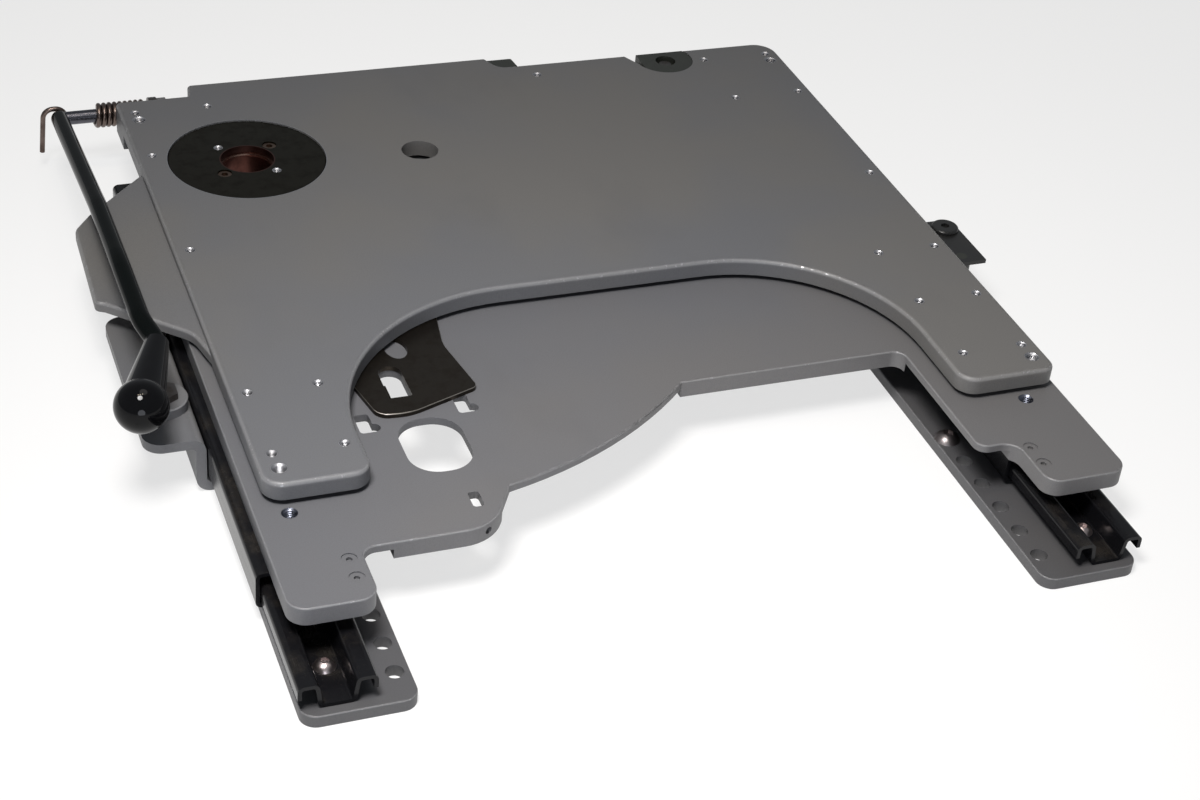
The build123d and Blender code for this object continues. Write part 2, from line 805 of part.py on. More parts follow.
def glide_pads():
    """Nylon pads on the carriage plate that carry the far side of the top plate."""
    right = carriage_right - glide_pad_inset
    places = [(right, carriage_rear - glide_pad_inset), (right, bar_front + glide_pad_inset)]
    places.append((carriage_left + left_pad_inset, 0))
    return [disc(x, y, glide_pad_radius, carriage_top, swivel_gap) for x, y in places]


# Top plate
def top_outline():
    """Plan of the top plate without its wing."""
    left_inner = top_left + top_left_foot
    right_inner = top_right - top_right_foot
    cut_rear = top_front + cutout_depth
    tongue_left = top_left + tongue_from_left
    tongue_right = tongue_left + tongue_length
    tongue_rear = top_rear + tongue_depth
    return rounded_outline(
        [
            (top_left, top_rear, top_rear_left_corner),
            (top_left, top_front, top_front_corner),
            (left_inner, top_front, top_front_corner),
            (left_inner, cut_rear, cutout_left_radius),
            (right_inner, cut_rear, cutout_right_radius),
            (right_inner, top_front, top_front_corner),
            (top_right, top_front, top_right_front_corner),
            (top_right, top_rear, top_rear_right_corner),
            (tongue_right + tongue_run_out, top_rear, tongue_fillet),
            (tongue_right, tongue_rear, 2),
            (tongue_left, tongue_rear, 2),
            (tongue_left - 3, top_rear, 1),
        ]
    )


def wing_outline():
    """Plan of the lower ledge that stands out on the left; it runs on under the plate's edge."""
    return rounded_outline([(top_left + x, y, radius) for x, y, radius in wing_corners])


def seat_hole_places():
    across = seat_spacing_x / 2
    along = seat_spacing_y / 2
    return [(seat_x + sx * across, seat_y + sy * along) for sx in (-1, 1) for sy in (-1, 1)]


def accessory_hole_places():
    """Small tapped holes for the seat's own fittings, in lines down both sides."""
    left, left_second, left_third = [top_left + column for column in left_columns()]
    right, right_second, right_third = [top_right - column for column in right_columns()]
    rear, rear_second, rear_third = [top_rear - row for row in fitting_hole_rear_rows]
    front, front_second, front_third = [top_front + row for row in fitting_hole_front_rows]
    places = [(x, y) for x in (left, right) for y in (rear, rear_second, rear_third, front_second, front)]
    places += [(x, y) for x in (left_second, right_second) for y in (front_second, front)]
    places += [(right, front_third), (right_second, front_third), (left_third, rear)]
    places += [(right_third, rear), (right_third, rear_second)]
    places.append((top_right - rear_fitting_hole_inset, rear + 1))
    return places


def left_columns():
    first, second, third = fitting_hole_columns
    return (first, first + second, first + third)


def right_columns():
    first, second, third = fitting_hole_right_columns
    return (first, first + second, first + third)


def puck_outline():
    """Round shape cut off by the plate's rear edge and on its left."""
    face = Pos(puck_x, puck_y) * Circle(puck_radius)
    rear = top_rear - puck_gap
    left = puck_x - puck_flat
    face &= rounded_outline(
        [
            (left, puck_y - puck_radius, 0),
            (puck_x + puck_radius, puck_y - puck_radius, 0),
            (puck_x + puck_radius, rear, 0),
            (left, rear, 0),
        ]
    )
    return face


def top_plate():
    """Seat plate: U shaped cut-out at the front, wing on the left, counterbore for the pivot."""
    plate = slab(top_outline(), top_bottom, top_thickness)
    plate = fillet(plate.faces().sort_by(Axis.Z)[-1].outer_wire().edges(), top_edge_round)
    wing = slab(wing_outline(), top_bottom, wing_thickness)
    edges = wing.faces().sort_by(Axis.Z)[-1].outer_wire().edges()
    wing = fillet([edge for edge in edges if edge.center().X < top_left - 0.5], wing_edge_round)
    plate += wing
    plate -= disc(pivot_x, pivot_y, hub_radius + hub_running_gap, top_bottom - 1, top_thickness + 2)
    plate -= disc(pivot_x, pivot_y, flange_radius + flange_rim_gap, counterbore_bottom, top_thickness)
    for x, y in seat_hole_places():
        plate -= tapped_hole(x, y, seat_hole_diameter / 2, top_surface, top_thickness + 1)
    for x, y in accessory_hole_places():
        plate -= tapped_hole(x, y, accessory_hole_diameter / 2, top_surface, top_thickness + 1)
    x, y = cable_hole_place
    plate -= disc(seat_x + x, seat_y + y, cable_hole_diameter / 2, top_bottom - 1, top_thickness + 2)
    recess = puck_radius + puck_gap
    floor = top_surface - puck_below_top - puck_depth
    plate -= disc(puck_x, puck_y, recess, floor, top_thickness)
    notch = rounded_outline(
        [
            (puck_x - recess + 2, puck_y - puck_notch_front, 0),
            (puck_x, puck_y - puck_notch_front, 0),
            (puck_x, top_rear + 5, 0),
            (puck_x - recess - 2 - puck_notch_flare, top_rear + 5, 0),
        ]
    )
    plate -= slab(notch, floor, top_thickness)
    for x, y in hanger_screw_places():
        plate -= disc(x, y, hanger_screw_hole_radius, top_bottom - 1, hanger_screw_hole_depth + 1)
    return plate


def puck_hole(radius, bottom, height):
    """Upright bar on the axis of the puck's hole."""
    dx, dy = puck_hole_offset
    return disc(puck_x + dx, puck_y + dy, radius, bottom, height)


def rear_puck():
    """Nylon puck let into the rear edge."""
    floor = top_surface - puck_below_top - puck_depth
    puck = slab(puck_outline(), floor, puck_depth)
    puck -= puck_hole(puck_hole_diameter / 2, floor + puck_hole_floor, puck_depth)
    return puck - puck_hole(puck_screw_diameter / 2, floor - 1, puck_depth)


def puck_screw():
    """Screw at the bottom of the puck's hole."""
    floor = top_surface - puck_below_top - puck_depth
    head = puck_hole(puck_screw_diameter * puck_head_share, floor + puck_hole_floor, puck_head_height)
    return head + puck_hole(puck_screw_diameter / 2, floor, puck_hole_floor)


def stop_block():
    """Plastic block on the rear edge, filling the corner beside the tongue."""
    left = top_left + tongue_from_left + tongue_length + stop_block_gap
    right = left + stop_block_width
    face = rounded_outline(
        [
            (left, top_rear - stop_block_overlap, 0),
            (right, top_rear - stop_block_overlap, 0),
            (right - stop_block_taper, top_rear + tongue_depth, stop_block_corner),
            (left, top_rear + tongue_depth, stop_block_corner),
        ]
    )
    return slab(face - top_outline(), top_bottom + stop_block_bottom, stop_block_height)


# Release lever
def hanger_screw_places():
    width, length = hanger_size
    right = top_left + width
    middle = top_rear - hanger_from_rear - length / 2
    return [(right - hanger_screw_inset, middle), (right - width + hanger_screw_inset, middle)]


def lever_hanger():
    """Block under the rear left corner with the lug that the cross shaft turns in."""
    width, length = hanger_size
    rear = top_rear - hanger_from_rear
    bottom = top_bottom - hanger_thickness
    base = box_between((top_left, rear - length, bottom), (top_left + width, rear, top_bottom))
    lug_left = top_left + width - hanger_lug_thickness
    lug_low = (lug_left, rear - hanger_lug_radius, shaft_z - hanger_lug_radius)
    lug = box_between(lug_low, (top_left + width, shaft_y, top_bottom))
    end = Pos(lug_left + hanger_lug_thickness / 2, shaft_y, shaft_z) * Rot(0, 90, 0)
    hanger = base + lug + end * Cylinder(hanger_lug_radius, hanger_lug_thickness)
    bore = Pos(lug_left, shaft_y, shaft_z) * Rot(0, 90, 0) * Cylinder(shaft_radius + shaft_running_gap, 40)
    hanger -= bore
    for x, y in hanger_screw_places():
        hanger -= disc(x, y, hanger_counterbore_radius, bottom - 1, hanger_counterbore_depth + 1)
        hanger -= disc(x, y, hanger_screw_hole_radius, bottom - 1, hanger_thickness + 2)
    return hanger


def hanger_screws():
    """Screws up through the hanger into the top plate."""
    bottom = top_bottom - hanger_thickness
    return [
        disc(x, y, hanger_head_radius, bottom + hanger_head_sink, hanger_counterbore_depth - hanger_head_sink)
        + disc(
            x,
            y,
            hanger_screw_hole_radius,
            bottom + hanger_counterbore_depth,
            hanger_thickness - hanger_counterbore_depth + hanger_screw_reach,
        )
        for x, y in hanger_screw_places()
    ]


def lever_point(offset):
    """Place given from the lever's axis at the arm."""
    dx, dy, dz = offset
    return (arm_x + dx, shaft_y + dy, shaft_z + dz)


def lever_arm():
    """Bent round bar from the shaft's end to the grip."""
    points = [lever_point((0, 0, 0))] + [lever_point(bend) for bend in arm_bends]
    tip = [a + arm_tip_share * (b - a) for a, b in zip(points[-1], lever_point(grip_end))]
    path = FilletPolyline(*points, tuple(tip), radius=arm_bend_radii)
    bar = sweep(Plane(origin=path @ 0, z_dir=path % 0) * Circle(arm_diameter / 2), path=path)
    return bar + Pos(path @ 0) * Sphere(arm_diameter / 2)


def cross_shaft():
    """Round shaft from the hanger's lug to the arm, its end shaped to meet the bar."""
    right = top_left + shaft_right_from_left
    length = right - arm_x
    shaft = Pos(arm_x + length / 2, shaft_y, shaft_z) * Rot(0, 90, 0) * Cylinder(shaft_radius, length)
    return shaft - lever_arm()


def lever_grip():
    """Tapered plastic grip with a ball end, turned about the line of the arm's last stretch."""
    start = Vector(*lever_point(arm_bends[-1]))
    end = Vector(*lever_point(grip_end))
    reach = (end - start).length
    shoulder = reach - math.sqrt(grip_ball_radius**2 - grip_shoulder_radius**2)
    neck = reach - grip_length
    lead = grip_neck_radius - grip_neck_lead
    with BuildSketch() as profile:
        with BuildLine():
            Polyline(
                (0, neck),
                (lead, neck),
                (grip_neck_radius, neck + grip_neck_lead),
                (grip_shoulder_radius, shoulder),
            )
            ThreePointArc(
                (grip_shoulder_radius, shoulder), (grip_ball_radius, reach), (0, reach + grip_ball_radius)
            )
            Line((0, reach + grip_ball_radius), (0, neck))
        make_face()
    turned = revolve(Rot(90, 0, 0) * profile.sketch, Axis.Z)
    grip = Plane(origin=start, z_dir=end - start) * turned
    return grip - lever_arm()


def shaft_crank():
    """Short crank on the shaft that pulls the lock when the lever is lifted."""
    right = top_left + hanger_size[0] - hanger_lug_thickness - crank_gap
    tip = Pos(0, -crank_length)
    web = Pos(0, -crank_length / 2) * Rectangle(2 * crank_tip_radius, crank_length)
    face = Circle(shaft_radius + crank_boss_wall) + web
    face = face + tip * Circle(crank_tip_radius) - Circle(shaft_radius) - tip * Circle(crank_pin_radius)
    crank = Plane(origin=(right - crank_thickness, shaft_y, shaft_z), x_dir=(0, 1, 0), z_dir=(1, 0, 0))
    return extrude(crank * face, crank_thickness)


def torsion_spring():
    """Coil round the shaft: one leg lies under the hanger, the other hooks over the arm's end."""
    wire = spring_wire / 2
    radius = shaft_radius + spring_shaft_gap + wire
    crank_left = top_left + hanger_size[0] - hanger_lug_thickness - crank_gap - crank_thickness
    right = crank_left - spring_crank_gap - wire
    coil = Helix(spring_pitch, spring_pitch * spring_turns, radius, lefthand=True)
    coil = Plane(origin=(right, shaft_y, shaft_z), x_dir=(0, 0, -1), z_dir=(-1, 0, 0)) * coil
    leg_front = top_rear - hanger_from_rear - hanger_size[1] + spring_leg_inset
    leg = Line(coil @ 0 - (coil % 0) * (shaft_y - leg_front), coil @ 0)
    hook_y = shaft_y + arm_diameter / 2 + hook_gap + wire
    turn = coil @ 1 + (coil % 1) * (hook_y - shaft_y)
    hook_x = arm_x + hook_offset[0]
    over = shaft_z + hook_radius + hook_offset[1]
    hook = FilletPolyline(
        coil @ 1,
        turn,
        (hook_x + hook_radius, hook_y, turn.Z),
        (hook_x + hook_radius, hook_y, over),
        (hook_x - hook_radius, hook_y, over),
        (hook_x - hook_radius - hook_splay, hook_y, shaft_z - hook_drop),
        radius=(spring_bend, spring_bend, hook_radius - hook_tightening, hook_radius - hook_tightening),
    )
    path = Wire(leg.edges() + coil.edges() + hook.edges())
    return sweep(Plane(origin=path @ 0, z_dir=path % 0) * Circle(wire), path=path)


# Buckle bracket
def buckle_screw_place():
    across = carriage_right + buckle_reach - buckle_screw_side_inset
    along = buckle_front + buckle_length - buckle_screw_rear_inset
    return (across, along)


def buckle_bracket():
    """Folded bracket on the carriage plate's right edge for the belt buckle."""
    half = buckle_sheet / 2
    leg_bottom = carriage_top - buckle_leg_height
    section = bent_sheet(
        [
            (carriage_right + half, leg_bottom),
            (carriage_right + half, carriage_top - half),
            (carriage_right + buckle_reach, carriage_top - half),
        ],
        buckle_sheet,
        buckle_bend,
    )
    bracket = along_y(section, buckle_front, buckle_length)
    outer = [
        edge
        for edge in bracket.edges().filter_by(Axis.Z)
        if edge.center().X > carriage_right + buckle_reach - 0.5
    ]
    bracket = fillet(max(outer, key=lambda edge: edge.center().Y), buckle_rear_corner)
    x, y = buckle_screw_place()
    bracket -= disc(x, y, buckle_screw_shank / 2, carriage_top - 10, 20)
    x, y = stud_place()
    bracket -= disc(x, y, stud_shank_radius, carriage_top - 10, 20)
    for y in buckle_side_screws_y():
        bracket -= Pos(carriage_right, y, side_screw_z()) * Rot(0, 90, 0) * Cylinder(side_screw_shank / 2, 20)
    return bracket


def side_screw_z():
    return carriage_top - buckle_sheet - buckle_bend - side_screw_head / 2


def buckle_side_screws_y():
    return (buckle_front + side_screw_inset, buckle_front + buckle_length - side_screw_inset)


def buckle_side_screws():
    """Screws through the bracket's leg into the edge of the carriage plate."""
    screws = []
    for y in buckle_side_screws_y():
        place = Pos(carriage_right, y, side_screw_z()) * Rot(0, 90, 0)
        head = place * disc(0, 0, side_screw_head / 2, buckle_sheet, side_screw_head_height)
        shank = place * disc(0, 0, side_screw_shank / 2, -side_screw_depth, side_screw_depth + buckle_sheet)
        screws.append(head + shank)
    return screws


def stud_place():
    return (carriage_right + stud_from_edge, buckle_front + stud_from_front)


def buckle_screw():
    """Low headed screw at the bracket's rear end, with its nut."""
    x, y = buckle_screw_place()
    screw = disc(x, y, buckle_screw_head / 2, carriage_top, buckle_screw_head_height)
    screw = fillet(screw.faces().sort_by(Axis.Z)[-1].edges(), buckle_head_round)
    screw -= slab(Pos(x, y) * RegularPolygon(buckle_key_radius, 6), carriage_top + buckle_key_floor, 5)
    return screw + disc(x, y, buckle_screw_shank / 2, carriage_top - 12, 12)


def buckle_nut():
    x, y = buckle_screw_place()
    top = carriage_top - buckle_sheet
    nut = hex_prism(x, y, buckle_nut_width, top - buckle_nut_height, buckle_nut_height)
    return nut - disc(x, y, buckle_screw_shank / 2, top - 8, 10)


def bracket_stud():
    """Black stud under the front end of the bracket."""
    x, y = stud_place()
    top = carriage_top - buckle_sheet
    body = disc(x, y, stud_diameter / 2, top - stud_length, stud_length)
    body = fillet(body.faces().sort_by(Axis.Z)[0].edges(), stud_round)
    return body + disc(x, y, stud_shank_radius, top, buckle_sheet)


# Belt anchor bracket
def anchor_bolt_place():
    return (anchor_left() + anchor_bolt_inset, anchor_front + anchor_bolt_from_front)


def anchor_left():
    return -rail_x - upper_rail_width / 2 - anchor_rail_gap - anchor_reach


def anchor_bracket():
    """Thick folded bracket welded to the left floor plate; its top leaf takes the belt's end."""
    half = anchor_sheet / 2
    leg = -rail_x - upper_rail_width / 2 - anchor_rail_gap - half
    plate_edge = -rail_x + floor_plate_inner_offset - floor_plate_width
    points = [(plate_edge, half), (leg, half), (leg, anchor_top - half), (anchor_left(), anchor_top - half)]
    section = bent_sheet(points, anchor_sheet, min(anchor_bend, plate_edge - leg - half - 0.5))
    bracket = along_y(section, anchor_front, anchor_length)
    corners = [edge for edge in bracket.edges().filter_by(Axis.Z) if edge.center().X < anchor_left() + 0.5]
    bracket = fillet(corners, anchor_corner)
    x, y = anchor_bolt_place()
    return bracket - disc(x, y, anchor_bolt_diameter / 2, anchor_top - anchor_sheet - 1, anchor_sheet + 2)


def anchor_spacer():
    """Round spacer that the belt's end fitting turns on."""
    x, y = anchor_bolt_place()
    ring = disc(x, y, anchor_boss_radius, anchor_top, anchor_boss_height)
    ring = chamfer(ring.faces().sort_by(Axis.Z)[-1].edges(), spacer_chamfer)
    return ring - disc(x, y, anchor_bolt_diameter / 2, anchor_top - 1, anchor_boss_height + 2)


def anchor_bolt():
    x, y = anchor_bolt_place()
    seat = anchor_top + anchor_boss_height
    tip = anchor_top - anchor_sheet - anchor_nut_height - 2
    head = hex_prism(x, y, anchor_head_across_flats, seat, anchor_head_height)
    return head + disc(x, y, anchor_bolt_diameter / 2, tip, seat - tip)


def anchor_nut():
    x, y = anchor_bolt_place()
    bottom = anchor_top - anchor_sheet - anchor_nut_height
    nut = hex_prism(x, y, anchor_head_across_flats, bottom, anchor_nut_height)
    return nut - disc(x, y, anchor_bolt_diameter / 2, bottom - 1, anchor_nut_height + 2)


def rail_screws():
    """Pan headed screws up through the roofs of the upper rails into the carriage plate."""
    seat = carriage_bottom - rail_sheet
    screws = []
    for x, y in rail_screw_places(-1) + rail_screw_places(1):
        head = disc(x, y, rail_screw_head / 2, seat - rail_screw_head_height, rail_screw_head_height)
        low = seat - rail_screw_head_height - 1
        socket = slab(Pos(x, y) * RegularPolygon(rail_key_radius, 6), low, rail_key_depth)
        shank = disc(x, y, rail_screw_shank / 2, seat, rail_sheet + rail_screw_depth)
        screws.append(head + shank - socket)
    return screws


def striker_screws():
    """Low screws at the striker plate's hidden rear end."""
    tip = carriage_bottom + 2
    return [
        disc(x, y, striker_screw_shank / 2, tip, carriage_top + striker_thickness - striker_edge - tip)
        for x, y in striker_screw_places()
    ]


NODES = {
    "floor_plate_left": lambda: floor_plate(-1),
    "floor_plate_right": lambda: floor_plate(1),
    "floor_plate_bolts": plate_bolts,
    "lower_rail_left": lambda: lower_rail(-1),
    "lower_rail_right": lambda: lower_rail(1),
    "rail_bolts": rail_bolts,
    "anchor_bracket": anchor_bracket,
    "anchor_spacer": anchor_spacer,
    "anchor_bolt": anchor_bolt,
    "anchor_nut": anchor_nut,
    "upper_rail_left": lambda: upper_rail(-1),
    "upper_rail_right": lambda: upper_rail(1),
    "rollers_left": lambda: rollers(-1),
    "rollers_right": lambda: rollers(1),
    "roller_cage_left": lambda: roller_cage(-1),
    "roller_cage_right": lambda: roller_cage(1),
    "carriage_plate": carriage_plate,
    "rail_screws": rail_screws,
    "striker_plate": striker_plate,
    "striker_screws": striker_screws,
    "buckle_bracket": buckle_bracket,
    "buckle_side_screws": buckle_side_screws,
    "buckle_screw": buckle_screw,
    "buckle_nut": buckle_nut,
    "bracket_stud": bracket_stud,
    "pivot_hub": pivot_hub,
    "hub_sleeve": hub_sleeve,
    "hub_circlip": circlip,
    "pivot_flange": pivot_flange,
    "flange_screws": flange_screws,
    "thrust_ring": thrust_ring,
    "thrust_washer": thrust_washer,
    "glide_pads": glide_pads,
    "top_plate": top_plate,
    "rear_puck": rear_puck,
    "puck_screw": puck_screw,
    "stop_block": stop_block,
    "lever_hanger": lever_hanger,
    "hanger_screws": hanger_screws,
    "torsion_spring": torsion_spring,
    "cross_shaft": cross_shaft,
    "lever_arm": lever_arm,
    "lever_grip": lever_grip,
    "shaft_crank": shaft_crank,
}

os.makedirs("parts", exist_ok=True)
for name, build in NODES.items():
    shape = build()
    if isinstance(shape, list):
        shape = Compound(children=shape)
    export_step(shape, f"parts/{name}.step")
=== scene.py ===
import json
import logging
import math
from dataclasses import dataclass
from enum import Enum
from typing import Any, Union

import bmesh
import bpy
from mathutils import Matrix, Vector


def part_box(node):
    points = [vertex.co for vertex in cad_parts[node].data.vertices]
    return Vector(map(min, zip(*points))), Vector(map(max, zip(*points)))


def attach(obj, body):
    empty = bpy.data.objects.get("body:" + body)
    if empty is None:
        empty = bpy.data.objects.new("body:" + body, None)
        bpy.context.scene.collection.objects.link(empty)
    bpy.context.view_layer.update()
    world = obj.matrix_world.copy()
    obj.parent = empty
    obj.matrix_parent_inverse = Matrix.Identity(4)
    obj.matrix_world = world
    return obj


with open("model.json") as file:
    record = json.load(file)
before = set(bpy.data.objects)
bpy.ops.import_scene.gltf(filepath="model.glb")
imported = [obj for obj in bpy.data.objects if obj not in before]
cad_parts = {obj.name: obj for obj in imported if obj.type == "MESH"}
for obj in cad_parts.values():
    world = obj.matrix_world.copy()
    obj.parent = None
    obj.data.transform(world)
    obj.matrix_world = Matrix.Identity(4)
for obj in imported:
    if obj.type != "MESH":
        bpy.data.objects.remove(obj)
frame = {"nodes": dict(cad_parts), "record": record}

# Finishes, threads, light and camera for a sliding and swivelling seat base.
# Metres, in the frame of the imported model: +Z up, +Y to the rear, +X to the right.

log = logging.getLogger("seat_base")

Colour = tuple[float, float, float]
Place = tuple[float, float, float]
Band = tuple[float, float]
Point = tuple[float, float]
MM = 0.001
MIDDLE = 0.5
UP: Place = (0.0, 0.0, 1.0)
FULL_TURN = 2 * math.pi
SMOOTH_BELOW = 40.0
WHITE_RAYS = ("Is Camera Ray", "Is Glossy Ray", "Is Transmission Ray")


class Body(Enum):
    """The bodies that the scene's own pieces ride on."""

    CARRIAGE = "carriage"
    TURNTABLE = "turntable"


class Slot(Enum):
    """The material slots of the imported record."""

    PLATE_GREY = "plate_grey"
    RAIL_BLACK = "rail_black"
    BRACKET_BLACK = "bracket_black"
    LEVER_BLACK = "lever_black"
    GRIP_BLACK = "grip_black"
    NYLON = "nylon"
    BRIGHT_STEEL = "bright_steel"
    BOLT_STEEL = "bolt_steel"
    DARK_STEEL = "dark_steel"
    BRONZED_STEEL = "bronzed_steel"
    SPRING_BROWN = "spring_brown"
    SLEEVE_BROWN = "sleeve_brown"


class Value:
    """A number on a material's sheet, which takes part in Python sums."""

    def __init__(self, sheet: "Sheet", socket: bpy.types.NodeSocket) -> None:
        """Wrap one output socket.

        Args:
            sheet: The sheet that the socket is on.
            socket: The output that gives the number.
        """
        self.sheet = sheet
        self.socket = socket

    def math(self, operation: str, *others: "Number") -> "Value":
        """Give the result of a Math node with this number first."""
        return self.sheet.math(operation, self, *others)

    def __add__(self, other: "Number") -> "Value":
        """Give the sum."""
        return self.math("ADD", other)

    def __radd__(self, other: float) -> "Value":
        """Give the sum."""
        return self.math("ADD", other)

    def __sub__(self, other: "Number") -> "Value":
        """Give the difference."""
        return self.math("SUBTRACT", other)

    def __rsub__(self, other: float) -> "Value":
        """Give the difference from a plain number."""
        return self.sheet.math("SUBTRACT", other, self)

    def __mul__(self, other: "Number") -> "Value":
        """Give the product."""
        return self.math("MULTIPLY", other)

    def __rmul__(self, other: float) -> "Value":
        """Give the product."""
        return self.math("MULTIPLY", other)

    def __pow__(self, power: float) -> "Value":
        """Give the power."""
        return self.math("POWER", power)

    def __abs__(self) -> "Value":
        """Give the size without its sign."""
        return self.math("ABSOLUTE")

    def wave(self, length: float) -> "Value":
        """Give a wave from -1 to 1 that repeats each time the number grows by length."""
        return (self * (FULL_TURN / length)).math("SINE")

    def step(self, low: float, high: float) -> "Value":
        """Rise smoothly from 0 to 1 as the number goes from low to high.

        Args:
            low: Where the step starts.
            high: Where the step ends; it may be below low.

        Returns:
            A number from 0 to 1.
        """
        socket = self.sheet.node(
            "ShaderNodeMapRange",
            {"interpolation_type": "SMOOTHSTEP", "clamp": True},
            {"Value": self, "From Min": low, "From Max": high, "To Min": 0.0, "To Max": 1.0},
        )
        return Value(self.sheet, socket)


Number = Union[Value, float]
Paint = Union[bpy.types.NodeSocket, Colour]


class Sheet:
    """The node sheet of one material."""

    def __init__(self, name: str) -> None:
        """Start a material with one surface shader.

        Args:
            name: The material's name.
        """
        self.material = bpy.data.materials.new(name)
        self.material.use_nodes = True
        self.tree = self.material.node_tree
        self.surface = self.tree.nodes["Principled BSDF"]

    def connect(self, entry: bpy.types.NodeSocket, value: Any) -> None:
        """Link or set one input socket.

        Args:
            entry: The input.
            value: A Value, an output socket, a number, a colour or a vector.
        """
        if isinstance(value, Value):
            value = value.socket
        if isinstance(value, bpy.types.NodeSocket):
            self.tree.links.new(value, entry)
        elif isinstance(value, tuple) and len(entry.default_value) == len(value) + 1:
            entry.default_value = (*value, 1.0)
        else:
            entry.default_value = value

    def node(self, kind: str, settings: dict[str, Any], sockets: dict[Any, Any], output: Any = 0) -> Any:
        """Add a node.

        Args:
            kind: The node's type.
            settings: Its properties, set first.
            sockets: Values or links of its inputs, by name or number.
            output: The output to give back, by name or number.

        Returns:
            The output socket.
        """
        made = self.tree.nodes.new(kind)
        for name, value in settings.items():
            setattr(made, name, value)
        for name, value in sockets.items():
            self.connect(made.inputs[name], value)
        return made.outputs[output]

    def math(self, operation: str, *numbers: Number) -> Value:
        """Give the result of one Math node."""
        return Value(self, self.node("ShaderNodeMath", {"operation": operation}, dict(enumerate(numbers))))

    def place(
        self, stretch: Place = (1.0, 1.0, 1.0), centre: Place = (0.0, 0.0, 0.0)
    ) -> bpy.types.NodeSocket:
        """Give the object coordinates, moved to a centre and then stretched.

        Args:
            stretch: Factor along each axis; a small one draws the pattern out.
            centre: The place that becomes the pattern's origin.

        Returns:
            The vector's socket.
        """
        coordinates = self.node("ShaderNodeTexCoord", {}, {}, "Object")
        shift = tuple(-along * factor for along, factor in zip(centre, stretch))
        sockets = {"Vector": coordinates, "Location": shift, "Scale": stretch}
        return self.node("ShaderNodeMapping", {}, sockets)

    def parts(self, vector: bpy.types.NodeSocket) -> tuple[Value, Value, Value]:
        """Split a vector into its three numbers."""
        first = self.node("ShaderNodeSeparateXYZ", {}, {"Vector": vector})
        return tuple(Value(self, output) for output in first.node.outputs)

    def upright(self) -> Value:
        """Give the height part of the surface's normal: 1 on a top face, 0 on a side."""
        return self.parts(self.node("ShaderNodeTexCoord", {}, {}, "Normal"))[2]

    def noise(
        self, place: bpy.types.NodeSocket, scale: float, detail: float = 2.0, rough: float = 0.5
    ) -> Value:
        """Give cloudy noise from 0 to 1.

        Args:
            place: Where it is read.
            scale: Clouds in a metre.
            detail: How many finer layers it has.
            rough: How strong the finer layers are.

        Returns:
            The noise.
        """
        sockets = {"Vector": place, "Scale": scale, "Detail": detail, "Roughness": rough}
        return Value(self, self.node("ShaderNodeTexNoise", {}, sockets))

    def cells(self, place: bpy.types.NodeSocket, scale: float) -> Value:
        """Give the distance to the nearest of many scattered points."""
        return Value(self, self.node("ShaderNodeTexVoronoi", {}, {"Vector": place, "Scale": scale}))

    def mix(self, share: Number, first: Paint, second: Paint) -> bpy.types.NodeSocket:
        """Mix two colours.

        Args:
            share: 0 for the first, 1 for the second.
            first: One colour.
            second: The other colour.

        Returns:
            The colour's socket.
        """
        made = self.tree.nodes.new("ShaderNodeMix")
        made.data_type = "RGBA"
        for number, value in ((0, share), (6, first), (7, second)):
            self.connect(made.inputs[number], value)
        return made.outputs[2]

    def relief(self, height: Value, depth: float, strength: float = 1.0) -> bpy.types.NodeSocket:
        """Turn a height from 0 to 1 into a bumped normal.

        Args:
            height: The height's pattern.
            depth: How far 1 stands out, in metres.
            strength: Share of the effect.

        Returns:
            The normal's socket.
        """
        return self.node("ShaderNodeBump", {}, {"Strength": strength, "Distance": depth, "Height": height})

    def finish(self, **sockets: Any) -> bpy.types.Material:
        """Set the surface shader's inputs.

        Args:
            sockets: Input names, with _ for a space, and their values.

        Returns:
            The material.
        """
        for name, value in sockets.items():
            self.connect(self.surface.inputs[name.replace("_", " ")], value)
        return self.material


